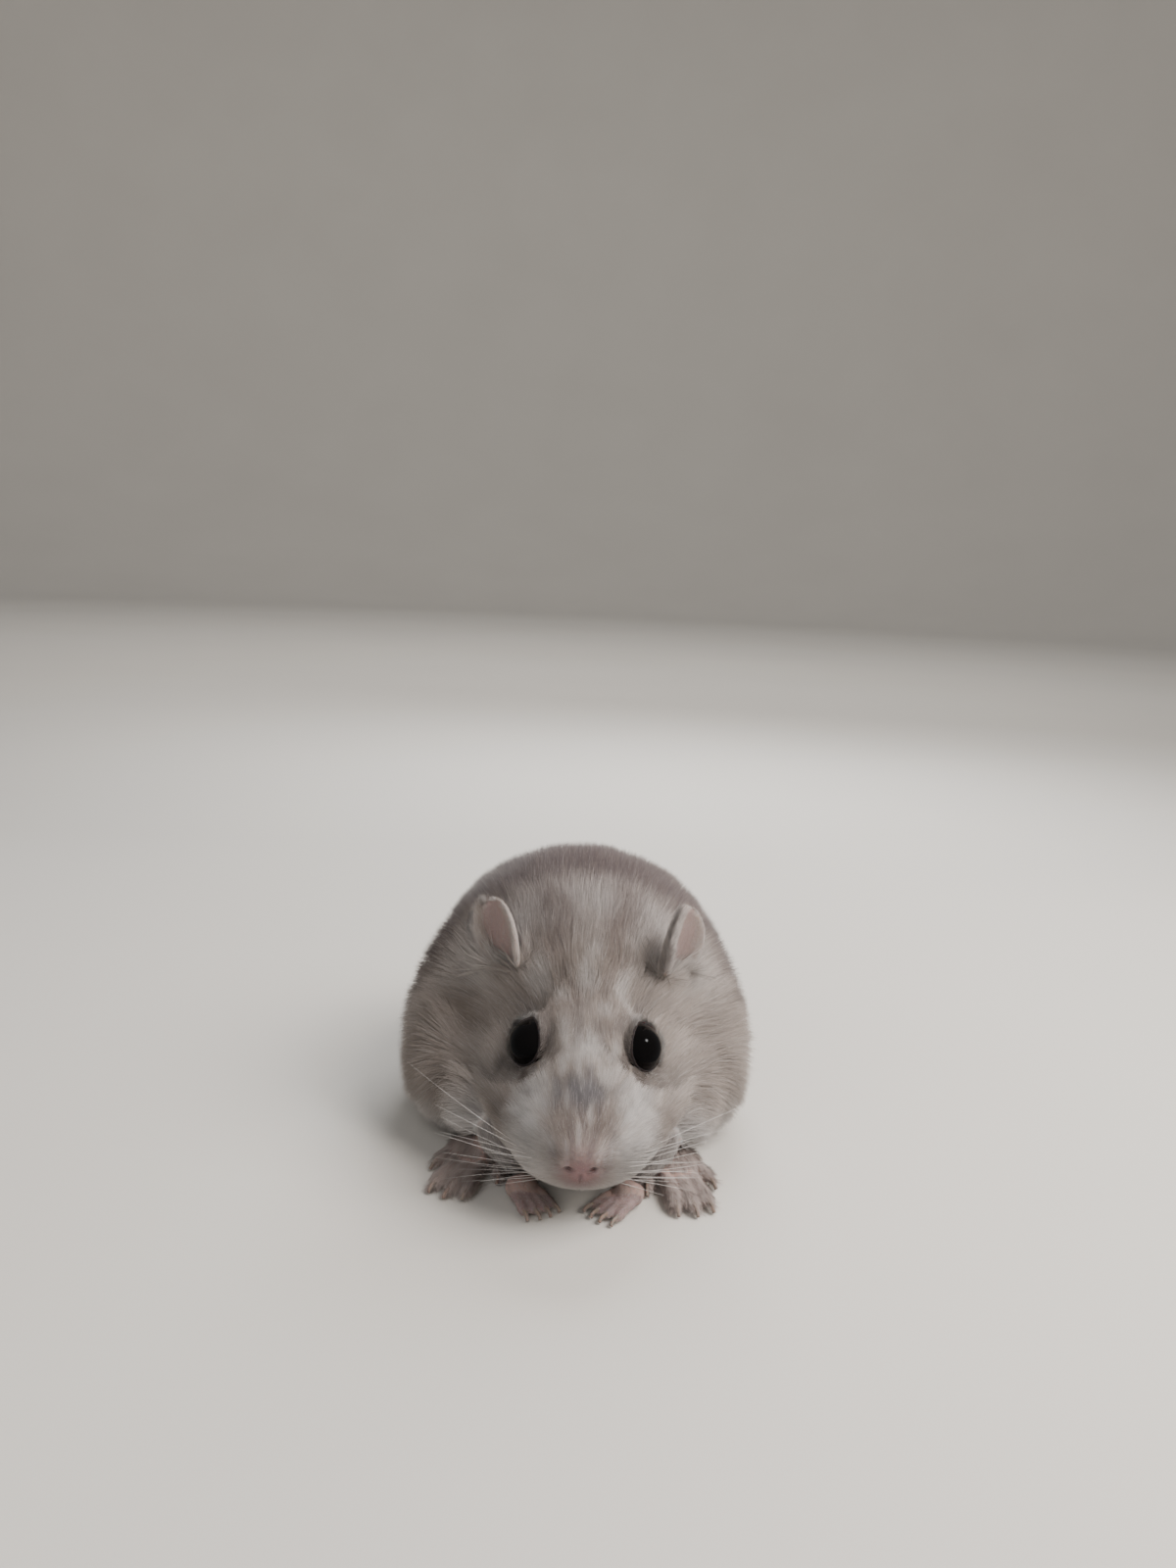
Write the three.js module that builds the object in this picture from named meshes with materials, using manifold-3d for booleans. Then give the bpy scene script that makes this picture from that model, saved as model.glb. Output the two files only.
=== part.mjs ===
// A Mongolian gerbil with a pale coat, crouched with its forepaws turned in under its muzzle, as a still,
// life-size model. Millimetres. It faces -Y, +Z is up and +X is its left side. The floor is Z = 0, and the
// origin is on the flat of the belly. The solids reach out to the tips of the coat.
import * as THREE from "three";
import { mergeVertices } from "three/addons/utils/BufferGeometryUtils.js";
import Module from "manifold-3d";

const wasm = await Module();
wasm.setup();

// Driving dimensions
const GAP = 0.3; // between neighbouring pieces
const HEAD_PITCH = 21; // degrees that the head points below level
const NOSE = [-34, 11]; // y and z of the tip of the nose
const EYE = { behind: 20.3, out: 7.2, above: 2.6, radius: 3.7 }; // its centre, in the head's frame
// The lids' edge: tangents of its angles from the eye's axis, how much it narrows upwards, and its thickness.
const LID = { lower: 1.6, corner: 2.35, across: 1.2, taper: 0.2, rim: 0.65 };
const EAR = { behind: 33, out: 11.6, above: 6.8, length: 10.5, halfWidth: 4.9, thick: 1.1 };
const EAR_ROLL = [110, 38]; // degrees that each edge is rolled in, at the base and at the tip
const HAUNCH = { out: 17, y: 8, z: 13.5, halfX: 11.5, halfY: 20.5, halfZ: 14.8, inner: 12.5 };
const HIND_FOOT = { length: 26, heelWidth: 5.2, toeWidth: 8.2, height: 4.6 };
const HAND = { length: 4.8, width: 4.9, height: 3.0 };
const CLAWS = { hind: 2.1, fore: 1.3 };
const TAIL = { rootRadius: 3.9, midRadius: 2.5, tipRadius: 1.5 };

// Maths
const radians = THREE.MathUtils.degToRad;
const vec = (x, y, z) => new THREE.Vector3(x, y, z);
const lerp = THREE.MathUtils.lerp;
const range = (count) => Array.from({ length: count }, (_, i) => i);

// A Catmull-Rom curve through evenly spaced values, read at a place from 0 to values.length - 1.
function through(values, place) {
  const last = values.length - 1;
  const i = Math.min(Math.floor(place), last - 1);
  const u = place - i;
  const [a, b, c, d] = [Math.max(i - 1, 0), i, i + 1, Math.min(i + 2, last)].map((k) => values[k]);
  const in_ = (c - a) / 2;
  const out = (d - b) / 2;
  return (2 * b - 2 * c + in_ + out) * u ** 3 + (3 * c - 3 * b - 2 * in_ - out) * u ** 2 + in_ * u + b;
}

// The head's own frame: a distance behind the tip of the nose along the head's axis, one to the side and one
// above it.
const headBack = [Math.cos(radians(HEAD_PITCH)), Math.sin(radians(HEAD_PITCH))];
const headYZ = (behind, above) => [
  NOSE[0] + behind * headBack[0] - above * headBack[1],
  NOSE[1] + behind * headBack[1] + above * headBack[0],
];
const inHead = (behind, side, above) => vec(side, ...headYZ(behind, above));
const turnedInHead = (behind, side, above) => inHead(behind, side, above).sub(inHead(0, 0, 0)).normalize();

// Closed surfaces
// Joins rings of points to one closed surface, with a point that closes each end.
function closedSurface(rings, first = centreOf(rings[0]), last = centreOf(rings.at(-1))) {
  const around = rings[0].length;
  const points = [first, ...rings.flat(), last];
  const at = (ring, k) => 1 + ring * around + (k % around);
  const faces = [];
  for (const k of range(around)) {
    faces.push(0, at(0, k + 1), at(0, k));
    for (const r of range(rings.length - 1)) {
      faces.push(at(r, k), at(r, k + 1), at(r + 1, k + 1), at(r, k), at(r + 1, k + 1), at(r + 1, k));
    }
    faces.push(points.length - 1, at(rings.length - 1, k), at(rings.length - 1, k + 1));
  }
  return facingOut(points, faces);
}

// A surface from points and faces, turned so that its faces look outwards.
function facingOut(points, faces) {
  let volume = 0;
  for (let i = 0; i < faces.length; i += 3) {
    const [a, b, c] = [points[faces[i]], points[faces[i + 1]], points[faces[i + 2]]];
    volume += a.dot(b.clone().cross(c));
  }
  const geometry = new THREE.BufferGeometry().setFromPoints(points);
  geometry.setIndex(volume < 0 ? faces.toReversed() : faces);
  return geometry;
}

function centreOf(ring) {
  return ring.reduce((sum, p) => sum.add(p), vec(0, 0, 0)).divideScalar(ring.length);
}

// The same surface moved outwards along its normals.
function grown(geometry, by = GAP) {
  const wider = geometry.clone();
  wider.computeVertexNormals();
  const { position, normal } = wider.attributes;
  for (const i of range(position.count)) {
    const p = vec(0, 0, 0).fromBufferAttribute(position, i);
    const n = vec(0, 0, 0).fromBufferAttribute(normal, i);
    position.setXYZ(i, ...p.addScaledVector(n, by));
  }
  return wider;
}

// An ellipsoid with three half sizes, turned and placed.
function ellipsoid(centre, halves, turn = new THREE.Euler(), around = 20, up = 14) {
  const geometry = new THREE.SphereGeometry(1, around, up);
  geometry.deleteAttribute("normal").deleteAttribute("uv");
  const place = new THREE.Matrix4().makeRotationFromEuler(turn).setPosition(centre);
  return mergeVertices(geometry.scale(...halves).applyMatrix4(place), 1e-5);
}

// A round limb, digit or tail along points, whose radius follows a list of sizes. flat squeezes it upright.
function limb(points, radii, { steps = 10, around = 10, flat = 1, from = 0, to = 1 } = {}) {
  const path = new THREE.CatmullRomCurve3(points, false, "centripetal");
  const ring = (t) => {
    const ahead = path.getTangentAt(t);
    const side = vec(-ahead.y, ahead.x, 0).normalize();
    const above = ahead.clone().cross(side).negate();
    const up = above.z < 0 ? above.negate() : above;
    const radius = through(radii, t * (radii.length - 1));
    return range(around).map((k) => {
      const angle = (2 * Math.PI * k) / around;
      const hand = side.clone().cross(up).dot(ahead) > 0 ? -1 : 1;
      return path
        .getPointAt(t)
        .addScaledVector(side, hand * radius * Math.cos(angle))
        .addScaledVector(up, radius * flat * Math.sin(angle));
    });
  };
  const rings = range(steps + 1).map((i) => ring(lerp(from, to, i / steps)));
  return closedSurface(rings);
}

// Solids
function solid(geometry) {
  const merged = mergeVertices(geometry, 1e-5);
  return new wasm.Manifold(
    new wasm.Mesh({
      numProp: 3,
      vertProperties: new Float32Array(merged.attributes.position.array),
      triVerts: new Uint32Array(merged.index.array),
    }),
  );
}

const fused = (solids) => solids.reduce((whole, piece) => whole.add(piece));
const without = (whole, ...others) => others.reduce((rest, other) => rest.subtract(other), whole);
const largest = (whole) => whole.decompose().sort((a, b) => b.volume() - a.volume())[0];
const bare = (geometry) => mergeVertices(geometry.deleteAttribute("normal").deleteAttribute("uv"));
const BELOW = solid(bare(new THREE.BoxGeometry(400, 400, 50).translate(0, 0, -25)));

// The body from nose to rump
// Each section is a flat ring between a point on the line of the back and one on the line of the belly. half is
// half its width, waist is how far up it is widest, and cheek is how far its lower half swells out at each side.
const headSection = (behind, half, up, down, cheek = 0) => ({
  top: headYZ(behind, up),
  bottom: headYZ(behind, -down),
  half,
  waist: down / (up + down || 1),
  cheek,
});
const bodySection = (top, bottom, half, waist, cheek = 0) => ({ top, bottom, half, waist, cheek });
const SECTIONS = [
  headSection(0, 0, 0, 0), // tip of the nose
  headSection(0.5, 2.7, 1.7, 2.9),
  headSection(1.7, 4.9, 2.9, 5.7), // nostrils
  headSection(3.8, 7.6, 4.1, 8.3, 0.6), // lips
  headSection(7, 9.4, 5.1, 9.6, 2.4), // whisker pads
  headSection(12, 9.0, 6.6, 10.2, 7.0), // bridge of the nose
  headSection(17.5, 8.6, 8.0, 10.8, 10.2), // eyes
  headSection(24, 10.0, 9.6, 11.4, 10),
  bodySection([-12.0, 32.0], [-6.6, 5.4], 14.8, 0.42, 7.6), // cheeks
  bodySection([-6.5, 37.0], [-6.6, 2.6], 18.8, 0.43, 6.4), // ears
  bodySection([-0.5, 40.6], [-5.5, 0.6], 22.4, 0.43, 5.2), // nape
  bodySection([7, 42.8], [-1, -0.8], 25.2, 0.43, 3), // shoulders
  bodySection([16, 43.0], [9, -0.9], 26.2, 0.41),
  bodySection([25, 40.8], [20, -0.9], 26.2, 0.39),
  bodySection([33.5, 36.4], [30, -0.2], 24.2, 0.38), // haunches
  bodySection([41, 29], [38.5, 2.0], 19.8, 0.38),
  bodySection([46.2, 21], [44.5, 6.6], 12.5, 0.42),
  bodySection([48.4, 13], [48.4, 13], 0, 0.5), // root of the tail
];
const ASIDE = -1.3; // how far the body sits to the right of the head
const CHEEK_ANGLE = radians(-27);
const CHEEK_SPREAD = radians(36);
const LAST = SECTIONS.length - 1;
const HEAD_ENDS = 9.4;
const NECK_ENDS = 10.8;
const AROUND = 32;

// Swellings and hollows of the head, in its own frame: where, how far they reach and how high they stand.
const SWELLINGS = [
  { at: [4.2, 5.0, -3.4], reach: 3.2, high: 1.1 }, // whisker pads
  { at: [0.6, 1.4, 0.4], reach: 1.4, high: 0.35 }, // wings of the nose
  { at: [0.9, 0, -2.2], reach: 0.9, high: -0.5 }, // groove under the nose
  { at: [20.0, 5.4, 7.8], reach: 3.4, high: 0.6 }, // brows
  { at: [20.5, 9.2, 3.6], reach: 3.8, high: -0.7 }, // eye sockets
  { at: [6.6, 0, -9.8], reach: 2.4, high: 0.4 }, // chin
].map(({ at: [behind, side, above], reach, high }) => ({
  centres: (side ? [side, -side] : [0]).map((x) => inHead(behind, x, above)),
  reach,
  high,
}));

// A point of the body's surface: place counts sections from the nose, and angle runs from the left over the back.
function bodyPoint(place, angle) {
  const value = (read) => through(SECTIONS.map(read), place);
  const top = [value((s) => s.top[0]), value((s) => s.top[1])];
  const bottom = [value((s) => s.bottom[0]), value((s) => s.bottom[1])];
  const waist = value((s) => s.waist);
  const middle = top.map((t, i) => lerp(bottom[i], t, waist));
  const [c, s] = [Math.cos(angle), Math.sin(angle)];
  const towards = s >= 0 ? top : bottom;
  const fromCheek = (Math.asin(s) - CHEEK_ANGLE) / CHEEK_SPREAD;
  const cheek = value((section) => section.cheek) * Math.exp(-(fromCheek ** 2));
  const half = Math.max(value((s) => s.half), 0) + cheek;
  const p = vec(c * half, ...middle.map((m, i) => lerp(m, towards[i], Math.abs(s))));
  const outwards = p.clone().sub(vec(0, ...middle)).normalize();
  for (const { centres, reach, high } of SWELLINGS) {
    for (const centre of centres) {
      p.addScaledVector(outwards, high * Math.exp(-((p.distanceTo(centre) / reach) ** 2)));
    }
  }
  p.x += ASIDE * THREE.MathUtils.smoothstep(place, HEAD_ENDS - 2, NECK_ENDS + 1);
  return p;
}

// The body's rings are closer together over the head, and a pole closes it at the nose and at the rump.
const bodyRing = (place) => range(AROUND).map((k) => bodyPoint(place, (2 * Math.PI * k) / AROUND));
const PLACES = [
  ...range(29).map((i) => lerp(0.3, HEAD_ENDS, i / 28)),
  ...range(18).map((i) => lerp(HEAD_ENDS, LAST - 0.25, (i + 1) / 18)),
];
const bodyRaw = closedSurface(PLACES.map(bodyRing), bodyPoint(0, 0), bodyPoint(LAST, 0));

const sides = [
  { name: "left", sign: 1 },
  { name: "right", sign: -1 },
];
const haunchRaw = (sign) =>
  ellipsoid(
    vec(ASIDE + sign * HAUNCH.out, HAUNCH.y, HAUNCH.z),
    [HAUNCH.halfX, HAUNCH.halfY, HAUNCH.halfZ],
    new THREE.Euler(radians(14), 0, 0),
    22,
    14,
  );
const grownHaunches = sides.map(({ sign }) => solid(grown(haunchRaw(sign))));
const grownBody = fused([solid(grown(bodyRaw)), ...grownHaunches]);

// A thin plate across the body at a place, which parts it there.
function plate(place) {
  const ring = bodyRing(place);
  const centre = centreOf(ring);
  const across = ring[0].clone().sub(ring[AROUND / 2]);
  const along = ring[AROUND / 4].clone().sub(ring[(3 * AROUND) / 4]).cross(across).normalize();
  const wider = ring.map((p) => p.clone().lerp(centre, -1));
  const face = (side) => wider.map((p) => p.clone().addScaledVector(along, side));
  return solid(closedSurface([face(-GAP / 2), face(GAP / 2)]));
}

// The outline along which a haunch is parted from the torso: an oval, seen from the side.
function haunchOutline(sign, by = 0) {
  const ring = (x, wider) =>
    range(40).map((k) => {
      const angle = (2 * Math.PI * k) / 40;
      return vec(
        ASIDE + sign * x,
        HAUNCH.y - 0.5 + (HAUNCH.halfY + wider + by) * Math.cos(angle),
        HAUNCH.z - 1 + (HAUNCH.halfZ + wider + by) * Math.sin(angle) + 1.5 * Math.cos(angle),
      );
    });
  return solid(closedSurface([ring(HAUNCH.inner - by, -1.5), ring(40, 0)]));
}

// Eyes and lids
const eyeCentre = (sign) => inHead(EYE.behind, sign * EYE.out, EYE.above);
const eyeAxis = (sign) => turnedInHead(-0.55, sign, 0.85);
const eyeHalves = [EYE.radius, EYE.radius, EYE.radius];
const eyeRaw = (sign) => ellipsoid(eyeCentre(sign), eyeHalves, undefined, 16, 11);

// Directions from the eye's centre to the edge of the lids, an oval with a pointed upper back corner.
function lidEdge(sign, share) {
  const axis = eyeAxis(sign);
  const long = turnedInHead(0.8, 0, 0.6).projectOnPlane(axis).normalize();
  const across = long.clone().cross(axis).normalize();
  return range(24).map((k) => {
    const angle = (2 * Math.PI * k) / 24;
    const corner = Math.max(Math.cos(angle), 0) ** 5;
    const width = LID.across * (1 - LID.taper * Math.cos(angle));
    return axis
      .clone()
      .addScaledVector(long, Math.cos(angle) * lerp(LID.lower, LID.corner, corner) * share)
      .addScaledVector(across, Math.sin(angle) * width * share)
      .normalize();
  });
}

// A thin raised rim round the opening of the eye.
const lidRaw = (sign) =>
  torusAlong(
    lidEdge(sign, 1).map((direction) => eyeCentre(sign).addScaledVector(direction, EYE.radius + 0.35)),
    LID.rim,
    6,
  );

// What is open in front of the eye.
function lidOpening(sign) {
  const ring = (distance) =>
    lidEdge(sign, 0.9).map((direction) => eyeCentre(sign).addScaledVector(direction, distance));
  return solid(closedSurface([ring(EYE.radius * 0.8), ring(EYE.radius * 2.4)]));
}

// A closed ring of even thickness through points.
function torusAlong(points, radius, sidesCount) {
  const count = points.length;
  const centre = centreOf(points);
  const vertices = [];
  const faces = [];
  points.forEach((p, i) => {
    const ahead = points[(i + 1) % count].clone().sub(points[(i - 1 + count) % count]).normalize();
    const out = p.clone().sub(centre).projectOnPlane(ahead).normalize();
    const other = ahead.clone().cross(out);
    for (const k of range(sidesCount)) {
      const angle = (2 * Math.PI * k) / sidesCount;
      vertices.push(
        p
          .clone()
          .addScaledVector(out, radius * Math.cos(angle))
          .addScaledVector(other, radius * Math.sin(angle)),
      );
    }
  });
  const at = (i, k) => (i % count) * sidesCount + (k % sidesCount);
  for (const i of range(count)) {
    for (const k of range(sidesCount)) {
      faces.push(at(i, k), at(i, k + 1), at(i + 1, k + 1), at(i, k), at(i + 1, k + 1), at(i + 1, k));
    }
  }
  return facingOut(vertices, faces);
}

// Nostrils and the line of the mouth, which are cut into the head
const NOSTRIL = { behind: 0.75, out: 1.75, above: -0.35, halves: [0.55, 0.9, 0.75] };
const nostrilCut = (sign) => {
  const centre = inHead(NOSTRIL.behind, sign * NOSTRIL.out, NOSTRIL.above);
  return solid(ellipsoid(centre, NOSTRIL.halves, new THREE.Euler(0.3, 0, sign * 0.6), 10, 8));
};

function mouthCut() {
  const points = range(13).map((i) => {
    const u = i / 6 - 1;
    return bodyPoint(2.5 + 1.9 * Math.abs(u) ** 1.5, radians(-90 + 52 * u));
  });
  return solid(limb(points, [0.3, 0.6, 0.7, 0.6, 0.3], { steps: 20, around: 6 }));
}

const bodyAndLids = without(
  fused([solid(bodyRaw), ...sides.map(({ sign }) => solid(lidRaw(sign)))]),
  ...sides.flatMap(({ sign }) => [solid(grown(eyeRaw(sign))), lidOpening(sign), nostrilCut(sign)]),
  mouthCut(),
);

// Ears
// Each ring across the ear is an arc that is rolled in at the base and opens to a shallow cup towards the tip.
function earRaw(sign) {
  const root = inHead(EAR.behind, sign * EAR.out, EAR.above);
  const up = turnedInHead(0.22, sign * 0.34, 0.9);
  const opening = turnedInHead(-0.8, sign * (sign > 0 ? 0.85 : 0.5), 0.1).projectOnPlane(up).normalize();
  const side = opening.clone().cross(up).normalize();
  const across = 9;
  const steps = 10;
  const sunk = 2;
  const rings = range(steps + 1).map((i) => {
    const a = Math.sin((Math.PI * i) / (2 * steps + 1));
    const roll = radians(lerp(...EAR_ROLL, a ** 0.6));
    const narrowing = Math.max(a - 0.55, 0) / 0.45;
    const halfArc = EAR.halfWidth * lerp(0.7, 1, Math.min(a / 0.55, 1)) * Math.sqrt(1 - narrowing ** 2);
    const radius = halfArc / roll;
    const lean = -1.2 * a * a;
    const edge = (b, outer) => {
      const thick = EAR.thick * lerp(1, 0.6, a) * lerp(1, 0.55, b * b);
      const r = radius + (outer ? thick / 2 : -thick / 2);
      return root
        .clone()
        .addScaledVector(up, (EAR.length + sunk) * a - sunk)
        .addScaledVector(side, r * Math.sin(b * roll))
        .addScaledVector(opening, radius - r * Math.cos(b * roll) + lean);
    };
    const spread = range(across).map((k) => (2 * k) / (across - 1) - 1);
    return [...spread.map((b) => edge(b, true)), ...spread.map((b) => edge(-b, false))];
  });
  return closedSurface(rings);
}

// Hind feet
const HIND_FEET = {
  left: { heel: [9, 1], turn: 16 },
  right: { heel: [-10, 2.5], turn: -19 },
};

// A foot's own frame: ahead along the foot and aside, away from the body's middle, from the heel.
function footFrame({ heel, turn }) {
  const angle = radians(turn);
  return (ahead, aside, height) =>
    vec(
      heel[0] + ahead * Math.sin(angle) + aside * Math.cos(angle),
      heel[1] - ahead * Math.cos(angle) + aside * Math.sin(angle),
      height,
    );
}

// One digit with its claw: a tapered limb that arches to the floor, and a thin curved point.
function digit(place, { from, aside, fan, length, radius, claw, height }) {
  const at = (share, z) => place(from + length * share, aside + fan * share, z);
  const toe = limb(
    [at(-0.25, height), at(0.2, height + radius * 0.25), at(0.65, radius * 1.05), at(1, radius * 0.75)],
    [radius * 1.05, radius, radius * 0.92, radius * 1.0, radius * 0.62],
    { steps: 4, around: 6 },
  );
  const reach = claw / length;
  const nail = limb(
    [at(0.9, radius * 1.15), at(1 + reach * 0.55, radius * 1.05), at(1 + reach, radius * 0.3 + 0.15)],
    [radius * 0.55, radius * 0.42, 0.16],
    { steps: 3, around: 4 },
  );
  return fused([solid(toe), solid(nail)]);
}

function hindFoot(name) {
  const place = footFrame(HIND_FEET[name]);
  const outward = name === "left" ? 1 : -1;
  const { length, heelWidth, toeWidth, height } = HIND_FOOT;
  const sole = limb(
    [place(0, 0, 2.6), place(length * 0.33, 0, 2.2), place(length * 0.62, 0, 1.8), place(length * 0.74, 0, 1.5)],
    [heelWidth * 0.42, heelWidth * 0.52, toeWidth * 0.44, toeWidth * 0.4],
    { steps: 6, around: 10, flat: height / toeWidth + 0.12 },
  );
  // The three middle toes are long, and the inner and the outer toe are short and set back.
  const toes = range(5).map((i) => {
    const across = i - 2;
    const short = Math.abs(across) === 2;
    return digit(place, {
      from: length * (short ? 0.52 : 0.68),
      aside: outward * across * toeWidth * 0.2,
      fan: outward * across * 0.8,
      length: short ? 6.2 : 8.6 - Math.abs(across) * 0.6,
      radius: 1.05,
      claw: CLAWS.hind,
      height: 1.5,
    });
  });
  return fused([solid(sole), ...toes]);
}

// Forelegs and hands
const HANDS = {
  left: { heel: [8.2, -21.2], turn: -42, elbow: [13.0, -11.5, 9.5] },
  right: { heel: [-9.2, -20.4], turn: 32, elbow: [-14, -10.5, 9.5] },
};

const foreleg = (name) => {
  const { heel, elbow } = HANDS[name];
  const outward = name === "left" ? 1 : -1;
  const shoulder = vec(elbow[0] * 0.85, elbow[1] + 9, elbow[2] + 5);
  const wrist = vec(heel[0] + outward * 0.4, heel[1] + 0.8, 3.1);
  const bend = vec(lerp(elbow[0], heel[0], 0.5) + outward * 0.4, lerp(elbow[1], heel[1], 0.55), 6.2);
  return limb([shoulder, vec(...elbow), bend, wrist], [8, 7.2, 4.6, 2.5], { steps: 10, around: 12 });
};

function hand(name) {
  const { heel, turn } = HANDS[name];
  const place = footFrame({ heel, turn });
  const { length, width, height } = HAND;
  const palm = limb(
    [place(-0.6, 0, 2.0), place(length * 0.5, 0, 1.5), place(length * 0.9, 0, 1.2)],
    [width * 0.4, width * 0.5, width * 0.42],
    { steps: 5, around: 10, flat: height / width + 0.12 },
  );
  const fingers = range(4).map((i) => {
    const across = i - 1.5;
    return digit(place, {
      from: length * 0.75,
      aside: across * width * 0.24,
      fan: across * 0.4,
      length: 4.4 - Math.abs(across) * 0.5,
      radius: 0.78,
      claw: CLAWS.fore,
      height: 1.1,
    });
  });
  return fused([solid(palm), ...fingers]);
}

// Tail
// It leaves the rump, comes down to the floor and curls round behind the body. Its last length has the tuft.
const TAIL_PATH = [
  [0, 38, 12.5],
  [0.5, 46, 8.5],
  [4, 54.5, 3.6],
  [10.5, 62, 2.3],
  [13, 71, 2.1],
  [7, 79, 2.0],
  [-3, 81, 1.9],
  [-12, 76.5, 1.7],
  [-18, 69, 1.4],
].map((p) => vec(...p));
const TAIL_RADII = [5.2, TAIL.rootRadius, 3.1, TAIL.midRadius, 2.4, 2.2, 2.0, TAIL.tipRadius, 0.9];
const TAIL_CUTS = [0, 0.4, 0.7, 1];
const TAIL_CUT = 0.0016; // half of the thin cut, as a share of the tail's length

const tailLength = (i) =>
  limb(TAIL_PATH, TAIL_RADII, {
    steps: [14, 10, 12][i],
    around: 12,
    from: TAIL_CUTS[i] + (i ? TAIL_CUT : 0),
    to: TAIL_CUTS[i + 1] - (i < 2 ? TAIL_CUT : 0),
  });

// Locks of the tuft: flat tapered blades that leave the tail at a low angle and lie back along it.
function tuft() {
  const path = new THREE.CatmullRomCurve3(TAIL_PATH, false, "centripetal");
  const rows = 6;
  const perRow = 5;
  return range(rows * perRow).map((n) => {
    const row = Math.floor(n / perRow);
    const t = lerp(0.79, 0.975, row / (rows - 1));
    const turn = radians((360 * (n + (row % 2) / 2)) / perRow + 18);
    const ahead = path.getTangentAt(t);
    const side = vec(-ahead.y, ahead.x, 0).normalize();
    const out = side.clone().multiplyScalar(Math.cos(turn)).addScaledVector(vec(0, 0, 1), Math.sin(turn));
    const long = 9.5 - 0.5 * (n % 3);
    const radius = through(TAIL_RADII, t * (TAIL_RADII.length - 1));
    const start = path.getPointAt(t).addScaledVector(out, radius * 0.35);
    const middle = start.clone().addScaledVector(ahead, long * 0.5).addScaledVector(out, 1.35);
    const end = start.clone().addScaledVector(ahead, long).addScaledVector(out, 1.5);
    end.z = Math.max(end.z, 0.5);
    middle.z = Math.max(middle.z, 0.5);
    return solid(limb([start, middle, end], [0.95, 0.9, 0.25], { steps: 3, around: 5, flat: 0.6 }));
  });
}

// Assembly
const frontToBack = (pieces) => pieces.sort((a, b) => a.boundingBox().min[1] - b.boundingBox().min[1]);
const lengths = (piece, place) => {
  const halves = piece.subtract(plate(place)).decompose();
  return frontToBack(halves.sort((a, b) => b.volume() - a.volume()).slice(0, 2));
};
const [head, behindHead] = lengths(bodyAndLids, HEAD_ENDS);
const hindParts = fused([behindHead, ...sides.map(({ sign }) => solid(haunchRaw(sign)))]);
const haunches = sides.map(({ sign }) => hindParts.intersect(haunchOutline(sign)));
const trunk = without(hindParts, ...sides.map(({ sign }) => haunchOutline(sign, GAP)), plate(HEAD_ENDS));
const [neck, torso] = lengths(largest(trunk), NECK_ENDS);

const nodes = [];
const add = (name, piece, material) => nodes.push({ name, piece: largest(piece.subtract(BELOW)), material });
const finish = (color, roughness) => new THREE.MeshStandardMaterial({ color, roughness, metalness: 0 });
const PALE_COAT = finish("#b9b0a6", 0.9);
const BACK_COAT = finish("#a59a90", 0.9);
const EAR_SKIN = finish("#b59f9b", 0.75);
const FOOT_SKIN = finish("#b08f86", 0.7);
const EYE_BLACK = finish("#141214", 0.08);
const TAIL_COAT = finish("#a1958a", 0.9);

add("head", without(head, ...grownHaunches), PALE_COAT);
add("neck", neck, PALE_COAT);
add("torso", torso, BACK_COAT);
sides.forEach(({ name, sign }, i) => {
  const leg = foreleg(name);
  const grownLeg = solid(grown(leg));
  add(`eye_${name}`, solid(eyeRaw(sign)), EYE_BLACK);
  add(`ear_${name}`, without(solid(earRaw(sign)), grownBody), EAR_SKIN);
  add(`haunch_${name}`, haunches[i], PALE_COAT);
  add(`hind_foot_${name}`, without(hindFoot(name), grownBody, grownLeg), FOOT_SKIN);
  add(`foreleg_${name}`, without(solid(leg), grownBody), PALE_COAT);
  add(`hand_${name}`, without(hand(name), grownLeg, grownBody), FOOT_SKIN);
});
add("tail_root", without(solid(tailLength(0)), grownBody), TAIL_COAT);
add("tail_middle", solid(tailLength(1)), TAIL_COAT);
add("tail_tuft", fused([solid(tailLength(2)), ...tuft()]), TAIL_COAT);

const gerbil = new THREE.Group();
gerbil.name = "gerbil";
for (const { name, piece, material } of nodes) {
  const { vertProperties, triVerts } = piece.getMesh();
  const geometry = new THREE.BufferGeometry()
    .setAttribute("position", new THREE.BufferAttribute(vertProperties, 3))
    .setIndex(new THREE.BufferAttribute(triVerts, 1));
  geometry.computeVertexNormals();
  const mesh = new THREE.Mesh(geometry, material);
  mesh.name = name;
  gerbil.add(mesh);
}

export default gerbil;
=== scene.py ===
"""A pale Mongolian gerbil, crouched over its forepaws: its skin, coat, eyes, claws and whiskers."""

import math

import bmesh
import bpy
import numpy as np
from mathutils import Matrix


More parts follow.
